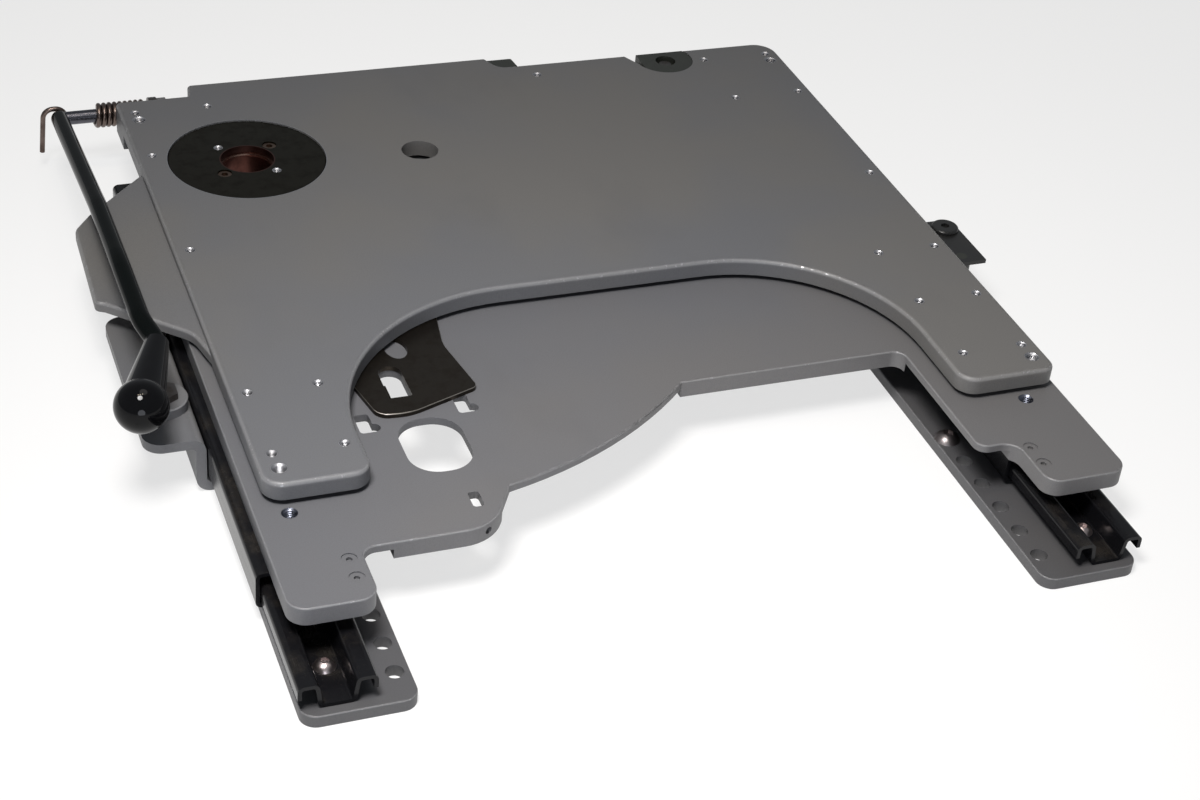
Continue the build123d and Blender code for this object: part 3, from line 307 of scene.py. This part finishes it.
@dataclass(frozen=True)
class PlateCoat:
    """Satin grey powder coat on thick plates that were cut out by a laser.

    Patterns are counted in a metre, a band is where a pattern fades in, and a share is how strongly it shows.
    """

    name: str = "grey_coat"
    cool: Colour = (0.124, 0.127, 0.137)
    warm: Colour = (0.140, 0.136, 0.131)
    smudge: Colour = (0.088, 0.088, 0.092)
    # Light colour of the rounded edges: partly worn coat, partly a painted highlight.
    edge_wear_and_highlight: Colour = (0.42, 0.42, 0.43)
    roughness: float = 0.47
    clouds: float = 5.0
    smears: float = 11.0
    grains: float = 1250.0
    pits: float = 420.0
    cut_lines: float = 900.0
    chips: float = 260.0
    smear_stretch: Place = (1.0, 0.6, 1.0)
    smear_centre: Place = (0.3, 0.1, 0.0)
    cut_stretch: Place = (1.0, 1.0, 0.06)
    cloud_band: Band = (0.35, 0.65)
    smear_band: Band = (0.52, 0.78)
    grain_band: Band = (0.35, 0.75)
    side_band: Band = (0.35, 0.05)
    above_side: Band = (0.12, 0.45)
    below_top: Band = (0.985, 0.80)
    chip_band: Band = (0.58, 0.68)
    smear_share: float = 0.22
    grain_share: float = 0.42
    # How strongly the rounded edges are painted light: partly worn coat, partly a painted highlight.
    edge_wear_and_highlight_share: float = 0.18
    chip_share: float = 0.5
    chip_metal: float = 0.7
    grain_gloss: float = 0.10
    smear_gloss: float = 0.10
    chip_gloss: float = 0.12
    grain_height: float = 0.5
    pit_height: float = 0.3
    cut_height: float = 1.6
    depth: float = 0.05 * MM
    bump: float = 0.55

    def dress(self) -> bpy.types.Material:
        """Build the material with its grain, clouds and cut marks, and edges painted lighter: partly worn
        coat, partly a painted highlight.

        Returns:
            The material.
        """
        sheet = Sheet(self.name)
        place = sheet.place()
        cloud = sheet.noise(place, self.clouds, 3.0)
        smear = sheet.noise(sheet.place(self.smear_stretch, self.smear_centre), self.smears, 4.0, 0.6)
        grain = sheet.noise(place, self.grains, 2.0, 0.6)
        pit = sheet.noise(place, self.pits, 1.0)
        cut = sheet.noise(sheet.place(self.cut_stretch), self.cut_lines, 1.0)
        level = abs(sheet.upright())
        side = level.step(*self.side_band)
        edge = level.step(*self.above_side) * level.step(*self.below_top)
        chip = edge * sheet.noise(place, self.chips, 3.0, 0.7).step(*self.chip_band)
        colour = sheet.mix(cloud.step(*self.cloud_band), self.cool, self.warm)
        colour = sheet.mix(smear.step(*self.smear_band) * self.smear_share, colour, self.smudge)
        colour = sheet.mix(grain.step(*self.grain_band) * self.grain_share, colour, self.smudge)
        # The fillets between top and sides are painted lighter, partly for worn coat and partly as a painted
        # highlight; the chips are bare wear.
        colour = sheet.mix(edge * self.edge_wear_and_highlight_share + chip * self.chip_share, colour, self.edge_wear_and_highlight)
        duller = self.grain_gloss * (grain - MIDDLE) + self.smear_gloss * (smear - MIDDLE)
        height = grain * self.grain_height + pit * self.pit_height + side * cut * self.cut_height
        return sheet.finish(
            Base_Color=colour,
            Roughness=self.roughness + duller - self.chip_gloss * chip,
            Metallic=chip * self.chip_metal,
            Normal=sheet.relief(height, self.depth, self.bump),
        )


@dataclass(frozen=True)
class GlossCoat:
    """Glossy black coat on rails, brackets and the lever."""

    name: str
    base: Colour = (0.010, 0.010, 0.012)
    dust: Colour = (0.060, 0.050, 0.038)
    dusty: float = 0.35
    roughness: float = 0.20
    draw: Place = (1.0, 0.03, 1.0)
    peel: float = 0.25
    coat: float = 0.6
    coat_roughness: float = 0.08
    gloss: float = 0.5
    ior: float = 1.5
    streaks: float = 700.0
    peels: float = 330.0
    specks: float = 420.0
    films: float = 34.0
    speck_band: Band = (0.22, 0.05)
    film_band: Band = (0.45, 0.75)
    up_band: Band = (0.3, 0.9)
    speck_share: float = 0.5
    streak_gloss: float = 0.12
    dust_gloss: float = 0.4
    streak_height: float = 0.12
    depth: float = 0.05 * MM
    bump: float = 0.6

    def dress(self) -> bpy.types.Material:
        """Build the material with orange peel, drawn streaks and dust on its upper faces.

        Returns:
            The material.
        """
        sheet = Sheet(self.name)
        place = sheet.place()
        streak = sheet.noise(sheet.place(self.draw), self.streaks, 3.0, 0.6)
        peel = sheet.noise(place, self.peels, 2.0)
        speck = sheet.cells(place, self.specks).step(*self.speck_band)
        film = sheet.noise(place, self.films, 4.0, 0.65).step(*self.film_band)
        up = sheet.upright().step(*self.up_band)
        dust = up * film * self.dusty
        colour = sheet.mix(dust + speck * up * (self.dusty * self.speck_share), self.base, self.dust)
        height = peel * self.peel + streak * self.streak_height
        if self.coat:
            sheet.finish(Coat_Weight=self.coat - dust * self.coat, Coat_Roughness=self.coat_roughness)
        return sheet.finish(
            Base_Color=colour,
            Roughness=self.roughness + self.streak_gloss * (streak - MIDDLE) + dust * self.dust_gloss,
            Specular_IOR_Level=self.gloss,
            IOR=self.ior,
            Normal=sheet.relief(height, self.depth, self.bump),
        )


@dataclass(frozen=True)
class Moulding:
    """Black moulded plastic, from glossy to matt."""

    name: str
    base: Colour
    roughness: float
    grains: float = 900.0
    depth: float = 0.02 * MM
    ior: float = 1.5
    marks: float = 90.0
    mark_band: Band = (0.5, 0.8)
    mark_share: float = 0.4
    lighter: float = 2.2
    least_rough: float = 0.8
    bump: float = 0.5

    def dress(self) -> bpy.types.Material:
        """Build the material with fine grain and faint handling marks.

        Returns:
            The material.
        """
        sheet = Sheet(self.name)
        place = sheet.place()
        grain = sheet.noise(place, self.grains, 2.0)
        mark = sheet.noise(place, self.marks, 4.0, 0.6)
        handled = tuple(min(1.0, part * self.lighter) for part in self.base)
        return sheet.finish(
            Base_Color=sheet.mix(mark.step(*self.mark_band) * self.mark_share, self.base, handled),
            Roughness=self.roughness * (self.least_rough + 2 * (1 - self.least_rough) * mark),
            IOR=self.ior,
            Normal=sheet.relief(grain, self.depth, self.bump),
        )


@dataclass(frozen=True)
class Steel:
    """Bare, plated or oiled steel, with marks that run straight or round an upright axis."""

    name: str
    base: Colour
    stained: Colour
    roughness: float = 0.32
    staining: float = 0.5
    turned_about: Union[Place, None] = None
    ring: float = 0.55 * MM
    draw: Place = (1.0, 1.0, 0.05)
    bore_radius: float = 0.0
    bore_lip: float = 1.0 * MM
    bore_colour: Colour = (0.075, 0.036, 0.030)
    # The two fields below paint chamfered edges lighter: partly worn metal, partly a painted highlight.
    edge_wear_and_highlight_share: float = 0.0
    edge_wear_and_highlight: Colour = (0.45, 0.42, 0.38)
    stains: float = 95.0
    grains: float = 1500.0
    lines: float = 1400.0
    wanders: float = 25.0
    wander: float = 0.4 * MM
    stain_band: Band = (0.42, 0.72)
    above_side: Band = (0.1, 0.4)
    below_top: Band = (0.98, 0.85)
    line_gloss: float = 0.14
    stain_gloss: float = 0.16
    line_height: float = 0.6
    grain_height: float = 0.4
    depth: float = 0.02 * MM
    bump: float = 0.5

    def dress(self) -> bpy.types.Material:
        """Build the material with turning rings or drawn lines, stains, and edges painted lighter: partly
        worn metal, partly a painted highlight.

        Returns:
            The material.
        """
        sheet = Sheet(self.name)
        place = sheet.place()
        stain = sheet.noise(place, self.stains, 4.0, 0.62).step(*self.stain_band)
        colour = sheet.mix(stain * self.staining, self.base, self.stained)
        if self.turned_about is None:
            line = sheet.noise(sheet.place(self.draw), self.lines, 2.0)
        else:
            across, along, _ = sheet.parts(sheet.place(centre=self.turned_about))
            radius = (across * across + along * along) ** 0.5
            wander = sheet.noise(place, self.wanders, 2.0) * self.wander
            line = (radius + wander).wave(self.ring) * 0.5 + 0.5
            if self.bore_radius:
                lip = radius.step(self.bore_radius + self.bore_lip, self.bore_radius + self.bore_lip / 2)
                colour = sheet.mix(lip, colour, self.bore_colour)
        # Edges painted lighter: partly worn metal, partly a painted highlight.
        if self.edge_wear_and_highlight_share:
            level = abs(sheet.upright())
            edge = level.step(*self.above_side) * level.step(*self.below_top)
            colour = sheet.mix(edge * self.edge_wear_and_highlight_share, colour, self.edge_wear_and_highlight)
        duller = self.line_gloss * (line - MIDDLE) + self.stain_gloss * stain * self.staining
        height = line * self.line_height + sheet.noise(place, self.grains, 2.0) * self.grain_height
        return sheet.finish(
            Base_Color=colour,
            Metallic=1.0,
            Roughness=self.roughness + duller,
            Normal=sheet.relief(height, self.depth, self.bump),
        )


@dataclass(frozen=True)
class Wardrobe:
    """The finish of each material slot, and of the nodes that differ from their slot."""

    pivot: Place
    bore: float
    upright_lines: Place = (1.0, 1.0, 6.0)
    bronzed: Colour = (0.022, 0.019, 0.012)
    bronze_stain: Colour = (0.011, 0.009, 0.006)

    def by_slot(self) -> dict[str, bpy.types.Material]:
        """Build one material for each slot of the record.

        Returns:
            The materials by slot name.
        """
        finishes = {
            Slot.PLATE_GREY: PlateCoat(),
            Slot.RAIL_BLACK: GlossCoat(
                "rail_coat", base=(0.005, 0.005, 0.006), dusty=0.25, coat=0.0, gloss=0.22
            ),
            Slot.BRACKET_BLACK: GlossCoat(
                "bracket_coat", base=(0.014, 0.014, 0.014), dusty=0.15, roughness=0.36, coat=0.1, gloss=0.35
            ),
            Slot.LEVER_BLACK: GlossCoat(
                "lever_coat",
                base=(0.003, 0.004, 0.004),
                dusty=0.02,
                roughness=0.12,
                peel=0.04,
                coat=0.0,
                ior=1.13,
            ),
            Slot.GRIP_BLACK: Moulding(
                "grip_plastic", (0.002, 0.002, 0.0025), 0.05, grains=300.0, depth=0.002 * MM, ior=1.27
            ),
            Slot.NYLON: Moulding("black_nylon", (0.020, 0.022, 0.018), 0.48),
            Slot.BRIGHT_STEEL: Steel("plated_steel", (0.46, 0.40, 0.395), (0.26, 0.20, 0.19), 0.32, 0.4),
            Slot.BOLT_STEEL: Steel("bolt_steel", (0.25, 0.225, 0.225), (0.11, 0.085, 0.075), 0.38, 0.6),
            Slot.DARK_STEEL: Steel("oiled_steel", (0.13, 0.12, 0.115), (0.06, 0.045, 0.035), 0.36, 0.6),
            # Bronzed parts get their edges painted lighter: partly wear, partly a painted highlight.
            Slot.BRONZED_STEEL: Steel(
                "bronzed_steel", self.bronzed, self.bronze_stain, 0.42, 0.7, self.pivot, edge_wear_and_highlight_share=0.5
            ),
            Slot.SPRING_BROWN: Steel(
                "spring_wire", (0.155, 0.120, 0.105), (0.060, 0.040, 0.033), 0.30, 0.7, draw=(0.1, 1.0, 1.0)
            ),
            Slot.SLEEVE_BROWN: Steel(
                "oiled_bronze",
                (0.115, 0.048, 0.038),
                (0.045, 0.019, 0.015),
                0.34,
                0.6,
                draw=self.upright_lines,
            ),
        }
        return {slot.value: finish.dress() for slot, finish in finishes.items()}

    def by_node(self) -> dict[str, bpy.types.Material]:
        """Build the materials of single nodes.

        Returns:
            The materials by node name.
        """
        floor = PlateCoat(
            "floor_plate_coat", (0.072, 0.073, 0.080), (0.079, 0.077, 0.079), (0.052, 0.052, 0.056)
        )
        carriage = PlateCoat("carriage_coat", (0.121, 0.123, 0.134), (0.131, 0.128, 0.130))
        # The striker's edges are painted light for its bright edge: partly wear, partly a painted highlight.
        striker = Steel(
            "bronzed_plate",
            (0.052, 0.044, 0.036),
            (0.026, 0.021, 0.017),
            0.36,
            0.7,
            draw=(1.0, 0.1, 1.0),
            edge_wear_and_highlight_share=0.8,
        )
        shaft = Steel(
            "ground_shaft", (0.105, 0.105, 0.120), (0.045, 0.042, 0.048), 0.22, 0.5, draw=(0.05, 1.0, 1.0)
        )
        disc = Steel(
            "bronzed_disc", self.bronzed, self.bronze_stain, 0.40, 0.7, self.pivot, bore_radius=self.bore
        )
        hub = Steel(
            "bore_lip", (0.070, 0.034, 0.028), (0.030, 0.016, 0.013), 0.34, 0.5, draw=self.upright_lines
        )
        clip = Steel("spring_clip", (0.36, 0.24, 0.20), (0.16, 0.09, 0.07), 0.28, 0.5)
        sunk = Steel("browned_screw", (0.15, 0.105, 0.08), (0.06, 0.035, 0.025), 0.32, 0.6)
        finishes = {
            "floor_plate_left": floor,
            "floor_plate_right": floor,
            "carriage_plate": carriage,
            "striker_plate": striker,
            "cross_shaft": shaft,
            "flange_screws": sunk,
            "pivot_flange": disc,
            "pivot_hub": hub,
            "hub_circlip": clip,
        }
        made = {finish.name: finish.dress() for finish in finishes.values()}
        return {node: made[finish.name] for node, finish in finishes.items()}


@dataclass(frozen=True)
class Mouth:
    """The chamfered mouth of a tapped hole."""

    centre: Vector
    bore: float
    rim: float


@dataclass
class TappedHoles:
    """Bare metal threads and rims in the tapped holes of one plate."""

    node: str
    body: Body
    pitch: float
    depth: float
    chamfer: float = 0.6 * MM
    burr: float = 0.22 * MM
    burr_top: float = 0.8
    lift: float = 0.015 * MM
    weld: float = 0.002 * MM
    surface_slack: float = 0.01 * MM
    chamfer_slack: float = 0.05 * MM
    mouth_tilt: float = 0.04
    fewest_points: int = 8
    steps: int = 20
    ridge: float = 0.55
    crest: Band = (-0.42, -0.54)
    foot: float = -0.96
    start: float = 0.4
    rim_reach: float = 1.8

    def mouths(self) -> list[Mouth]:
        """Find the chamfered mouths in the plate's upper face.

        Returns:
            One mouth for each ring of slanted faces at the surface, from left to right.
        """
        shell = bmesh.new()
        shell.from_mesh(frame["nodes"][self.node].data)
        bmesh.ops.remove_doubles(shell, verts=shell.verts, dist=self.weld)
        surface = max(vert.co.z for vert in shell.verts)
        slanted = {face for face in shell.faces if self.is_chamfer(face, surface)}
        found = []
        while slanted:
            ring, waiting = [], [slanted.pop()]
            while waiting:
                face = waiting.pop()
                ring.append(face)
                for edge in face.edges:
                    near = [other for other in edge.link_faces if other in slanted]
                    slanted.difference_update(near)
                    waiting.extend(near)
            verts = {vert for face in ring for vert in face.verts}
            if len(verts) > self.fewest_points:
                found.append(self.measure(verts, surface))
        shell.free()
        return sorted(found, key=lambda mouth: tuple(mouth.centre))

    def is_chamfer(self, face: bmesh.types.BMFace, surface: float) -> bool:
        """Tell whether a face slants at 45 degrees and just meets the surface.

        Args:
            face: The face.
            surface: The height of the plate's upper face.

        Returns:
            True for a face of a chamfered mouth.
        """
        heights = [vert.co.z for vert in face.verts]
        meets = abs(max(heights) - surface) < self.surface_slack
        deep = abs(surface - min(heights) - self.chamfer) < self.chamfer_slack
        return meets and deep and abs(face.normal.z - math.sqrt(0.5)) < self.mouth_tilt

    def measure(self, verts: set[bmesh.types.BMVert], surface: float) -> Mouth:
        """Take a mouth's centre and radii from the points of its ring.

        Args:
            verts: The ring's points.
            surface: The height of the plate's upper face.

        Returns:
            The mouth.
        """
        low = [min(vert.co[axis] for vert in verts) for axis in (0, 1)]
        high = [max(vert.co[axis] for vert in verts) for axis in (0, 1)]
        centre = Vector(((low[0] + high[0]) / 2, (low[1] + high[1]) / 2, surface))
        spans = [(vert.co.xy - centre.xy).length for vert in verts]
        return Mouth(centre, min(spans), max(spans))

    def cut_thread(self, shell: bmesh.types.BMesh, mouth: Mouth) -> None:
        """Spin a ridge down the bore.

        Args:
            shell: The mesh that takes the thread.
            mouth: The hole.
        """
        top = mouth.centre.z - self.chamfer * self.start
        root = mouth.bore - self.lift
        crest = mouth.bore - self.ridge * self.pitch
        heights = [top + share * self.pitch for share in (0.0, *self.crest, self.foot)]
        ridge = lay_outline(shell, list(zip((root, crest, crest, root), heights)), mouth.centre)
        turns = int(self.depth / self.pitch)
        bmesh.ops.spin(
            shell,
            geom=ridge,
            cent=mouth.centre,
            axis=UP,
            dvec=(0.0, 0.0, -self.pitch / self.steps),
            angle=FULL_TURN * turns,
            steps=self.steps * turns,
            use_duplicate=False,
        )

    def turn_rim(self, shell: bmesh.types.BMesh, mouth: Mouth) -> None:
        """Turn the bright ring that the drill leaves at the mouth.

        Args:
            shell: The mesh that takes the rim.
            mouth: The hole.
        """
        top = mouth.centre.z + self.lift
        outline = [
            (mouth.rim + self.burr, top - 2 * self.lift),
            (mouth.rim + self.burr * self.burr_top, top),
            (mouth.rim, top),
            (mouth.bore - self.lift, top - self.chamfer),
            (mouth.bore - self.lift, top - self.chamfer * self.rim_reach),
        ]
        turn_ring(shell, outline, mouth.centre, self.steps * 2)

    def build(self, finish: bpy.types.Material) -> bpy.types.Object:
        """Make one piece that holds all the plate's threads and rims.

        Args:
            finish: The bare metal.

        Returns:
            The piece.
        """
        shell = bmesh.new()
        holes = self.mouths()
        mould = bpy.data.meshes.new("mould")
        for mouth in holes:
            single = bmesh.new()
            self.cut_thread(single, mouth)
            self.turn_rim(single, mouth)
            single.to_mesh(mould)
            single.free()
            shell.from_mesh(mould)
        bpy.data.meshes.remove(mould)
        bmesh.ops.recalc_face_normals(shell, faces=shell.faces)
        log.info("%s has %d tapped holes", self.node, len(holes))
        piece = make_piece(f"{self.node}_threads", shell, finish)
        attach(piece, self.body.value)
        return piece


@dataclass
class SeatRim:
    """Bright turned edge of the seat that the flange lies in."""

    centre: Vector
    flange_radius: float
    top: float
    flange_top: float
    gap: float = 0.4 * MM
    width: float = 0.45 * MM
    skin: float = 0.015 * MM
    steps: int = 180

    def build(self, finish: bpy.types.Material) -> bpy.types.Object:
        """Turn the rim.

        Args:
            finish: The bare metal.

        Returns:
            The piece.
        """
        shell = bmesh.new()
        wall = self.flange_radius + self.gap - self.skin
        outline = [
            (wall + self.width, self.top + self.skin),
            (wall, self.top + self.skin),
            (wall, self.flange_top - self.gap),
        ]
        turn_ring(shell, outline, self.centre, self.steps)
        for face in shell.faces:
            face.normal_update()
            outward = face.calc_center_median().xy - self.centre.xy
            level = abs(face.normal.z) > math.sqrt(0.5)
            if (level and face.normal.z < 0) or (not level and face.normal.xy.dot(outward) > 0):
                face.normal_flip()
        piece = make_piece("flange_seat_rim", shell, finish)
        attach(piece, Body.TURNTABLE.value)
        return piece


def lay_outline(shell: bmesh.types.BMesh, outline: list[Point], axis: Vector) -> list[Any]:
    """Lay an open outline beside an upright axis.

    Args:
        shell: The mesh that takes it.
        outline: The radius and height of each point.
        axis: A point on the axis.

    Returns:
        The points and edges.
    """
    verts = [shell.verts.new((axis.x + radius, axis.y, height)) for radius, height in outline]
    edges = [shell.edges.new(pair) for pair in zip(verts, verts[1:])]
    return verts + edges


def turn_ring(shell: bmesh.types.BMesh, outline: list[Point], axis: Vector, steps: int) -> None:
    """Turn an outline once round an upright axis.

    Args:
        shell: The mesh that takes the ring.
        outline: The radius and height of each point.
        axis: A point on the axis.
        steps: Facets in the turn.
    """
    bmesh.ops.spin(
        shell,
        geom=lay_outline(shell, outline, axis),
        cent=axis,
        axis=UP,
        angle=FULL_TURN,
        steps=steps,
        use_merge=True,
        use_duplicate=False,
    )


def make_piece(name: str, shell: bmesh.types.BMesh, finish: bpy.types.Material) -> bpy.types.Object:
    """Turn a finished shell into an object.

    Args:
        name: The piece's name.
        shell: The mesh, which is freed.
        finish: The piece's material.

    Returns:
        The object, with its place in its mesh.
    """
    mesh = bpy.data.meshes.new(name)
    shell.to_mesh(mesh)
    shell.free()
    mesh.materials.append(finish)
    mesh.shade_smooth()
    mesh.set_sharp_from_angle(angle=math.radians(SMOOTH_BELOW))
    piece = bpy.data.objects.new(name, mesh)
    bpy.context.scene.collection.objects.link(piece)
    return piece


@dataclass(frozen=True)
class Lamp:
    """A soft round lamp, which fades out towards the sides of its beam."""

    name: str
    eye: Place
    target: Place
    size: float
    power: float
    colour: Colour
    spread: float = 180.0

    def hang(self) -> None:
        """Hang the lamp and point it at its target."""
        data = bpy.data.lights.new(self.name, "AREA")
        data.shape = "DISK"
        data.size = self.size
        data.energy = self.power
        data.color = self.colour
        data.spread = math.radians(self.spread)
        lamp = bpy.data.objects.new(self.name, data)
        lamp.location = self.eye
        lamp.rotation_euler = (Vector(self.target) - Vector(self.eye)).to_track_quat("-Z", "Y").to_euler()
        bpy.context.scene.collection.objects.link(lamp)


@dataclass
class Studio:
    """Pale floor, soft lamps and the camera at the photograph's angle."""

    lens: float = 67.45
    sensor: float = 36.0
    eye: Place = (-0.494, -1.1565, 0.874)
    right: Place = (0.93525, -0.34392, 0.08387)
    down: Place = (-0.13570, -0.56713, -0.81237)
    ahead: Place = (0.32695, 0.74839, -0.57708)
    floor_size: float = 12.0
    floor_gap: float = 0.2 * MM
    floor_colour: Colour = (0.86, 0.86, 0.86)
    floor_roughness: float = 0.9
    floor_gloss: float = 0.1
    floor_glow: float = 0.70
    world_colour: Colour = (0.90, 0.95, 1.0)
    world_strength: float = 0.13
    world_gloss: float = 0.30
    centre: Place = (0.0, 0.05, 0.04)
    ceiling_place: Point = (-0.25, 2.3)
    ceiling_row: Place = (-0.75, -0.45, -0.15)

    def lay_floor(self) -> None:
        """Lay the pale floor under the plates; it looks white and keeps their shadow."""
        shell = bmesh.new()
        bmesh.ops.create_grid(shell, x_segments=2, y_segments=2, size=self.floor_size / 2)
        sheet = Sheet("floor")
        finish = sheet.finish(
            Base_Color=self.floor_colour, Roughness=self.floor_roughness, Specular_IOR_Level=self.floor_gloss
        )
        path = sheet.node("ShaderNodeLightPath", {}, {}).node
        seen = sum((Value(sheet, path.outputs[ray]) for ray in WHITE_RAYS), 0.0)
        white = sheet.node("ShaderNodeEmission", {}, {"Color": (1.0, 1.0, 1.0), "Strength": 1.0})
        lit = sheet.surface.outputs[0]
        mixed = sheet.node("ShaderNodeMixShader", {}, {0: seen * self.floor_glow, 1: lit, 2: white})
        sheet.connect(sheet.tree.nodes["Material Output"].inputs["Surface"], mixed)
        floor = make_piece("floor", shell, finish)
        floor.location.z = -self.floor_gap

    def set_world(self) -> None:
        """Make the world dim as light, brighter in reflections and white behind the floor."""
        world = bpy.data.worlds.new("studio")
        world.use_nodes = True
        tree = world.node_tree
        path = tree.nodes.new("ShaderNodeLightPath")
        dim, bright = (tree.nodes.new("ShaderNodeMapRange") for _ in range(2))
        dim.inputs["To Min"].default_value = self.world_strength
        dim.inputs["To Max"].default_value = self.world_gloss
        tree.links.new(path.outputs["Is Glossy Ray"], dim.inputs["Value"])
        tree.links.new(dim.outputs["Result"], bright.inputs["To Min"])
        tree.links.new(path.outputs["Is Camera Ray"], bright.inputs["Value"])
        background = tree.nodes["Background"]
        background.inputs["Color"].default_value = (*self.world_colour, 1.0)
        tree.links.new(bright.outputs["Result"], background.inputs["Strength"])
        bpy.context.scene.world = world

    def lamps(self) -> list[Lamp]:
        """List the key at the front left, the low fill, the top lamp and a row under the ceiling.

        Returns:
            The lamps.
        """
        row = [
            Lamp(
                f"ceiling_{number}", (across, *self.ceiling_place), self.centre, 0.10, 2.0, (1.0, 0.86, 0.68)
            )
            for number, across in enumerate(self.ceiling_row)
        ]
        return [
            Lamp("key", (-0.47, -0.50, 1.30), (-0.08, -0.25, 0.04), 0.45, 4.4, (1.0, 0.98, 0.96), 74.0),
            Lamp("fill", (-0.6, -1.8, 0.25), (0.0, 0.0, 0.05), 0.9, 9.0, (0.88, 0.92, 1.0)),
            Lamp("top", (0.05, 0.1, 2.1), self.centre, 1.0, 4.0, (1.0, 0.97, 0.93)),
            *row,
        ]

    def set_camera(self) -> None:
        """Stand the camera where the photograph was taken."""
        data = bpy.data.cameras.new("camera")
        data.lens = self.lens
        data.sensor_width = self.sensor
        camera = bpy.data.objects.new("camera", data)
        rows = [[self.right[axis], -self.down[axis], -self.ahead[axis]] for axis in range(3)]
        camera.matrix_world = Matrix.Translation(self.eye) @ Matrix(rows).to_4x4()
        bpy.context.scene.collection.objects.link(camera)
        bpy.context.scene.camera = camera

    def build(self) -> None:
        """Set up the whole studio."""
        self.lay_floor()
        self.set_world()
        for lamp in self.lamps():
            lamp.hang()
        self.set_camera()
        bpy.context.scene.view_settings.view_transform = "Standard"


def dress_nodes(by_slot: dict[str, bpy.types.Material], by_node: dict[str, bpy.types.Material]) -> None:
    """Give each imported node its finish.

    Args:
        by_slot: The materials by slot name.
        by_node: The materials of nodes that differ from their slot.
    """
    for part in frame["record"]["subparts"]:
        node = frame["nodes"][part["node"]]
        finish = by_node.get(part["node"], by_slot[part["material_slot"]])
        for entry in node.material_slots:
            entry.material = finish
        log.info("%s wears %s", part["node"], finish.name)


def main() -> None:
    """Dress the model, add the threads and set up the studio."""
    logging.basicConfig(level=logging.INFO, format="%(name)s: %(message)s")
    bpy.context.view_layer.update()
    low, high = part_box("pivot_flange")
    pivot = tuple((low + high) / 2)
    inner_low, inner_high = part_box("hub_sleeve")
    wardrobe = Wardrobe(pivot, (inner_high - inner_low).x / 2)
    dress_nodes(wardrobe.by_slot(), wardrobe.by_node())
    bare = Steel("bare_thread", (0.40, 0.40, 0.42), (0.24, 0.23, 0.23), 0.46, 0.4).dress()
    # The carriage plate's threads are dark metal with a blue tint, a painted reflection of the bluish glint
    # in its holes.
    bluish = Steel("bluish_thread", (0.16, 0.17, 0.21), (0.08, 0.08, 0.10), 0.34, 0.5).dress()
    flange_low, flange_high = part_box("pivot_flange")
    plate_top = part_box("top_plate")[1].z
    rim = SeatRim((flange_low + flange_high) / 2, (flange_high - flange_low).x / 2, plate_top, flange_high.z)
    pieces = [
        (TappedHoles("top_plate", Body.TURNTABLE, 1.0 * MM, 9.0 * MM), bare),
        (TappedHoles("carriage_plate", Body.CARRIAGE, 1.5 * MM, 9.0 * MM), bluish),
        (TappedHoles("pivot_flange", Body.CARRIAGE, 0.8 * MM, 4.0 * MM), bare),
        (rim, bare),
    ]
    for piece, finish in pieces:
        log.info("made %s", piece.build(finish).name)
    Studio().build()


if __name__ == "__main__":
    main()
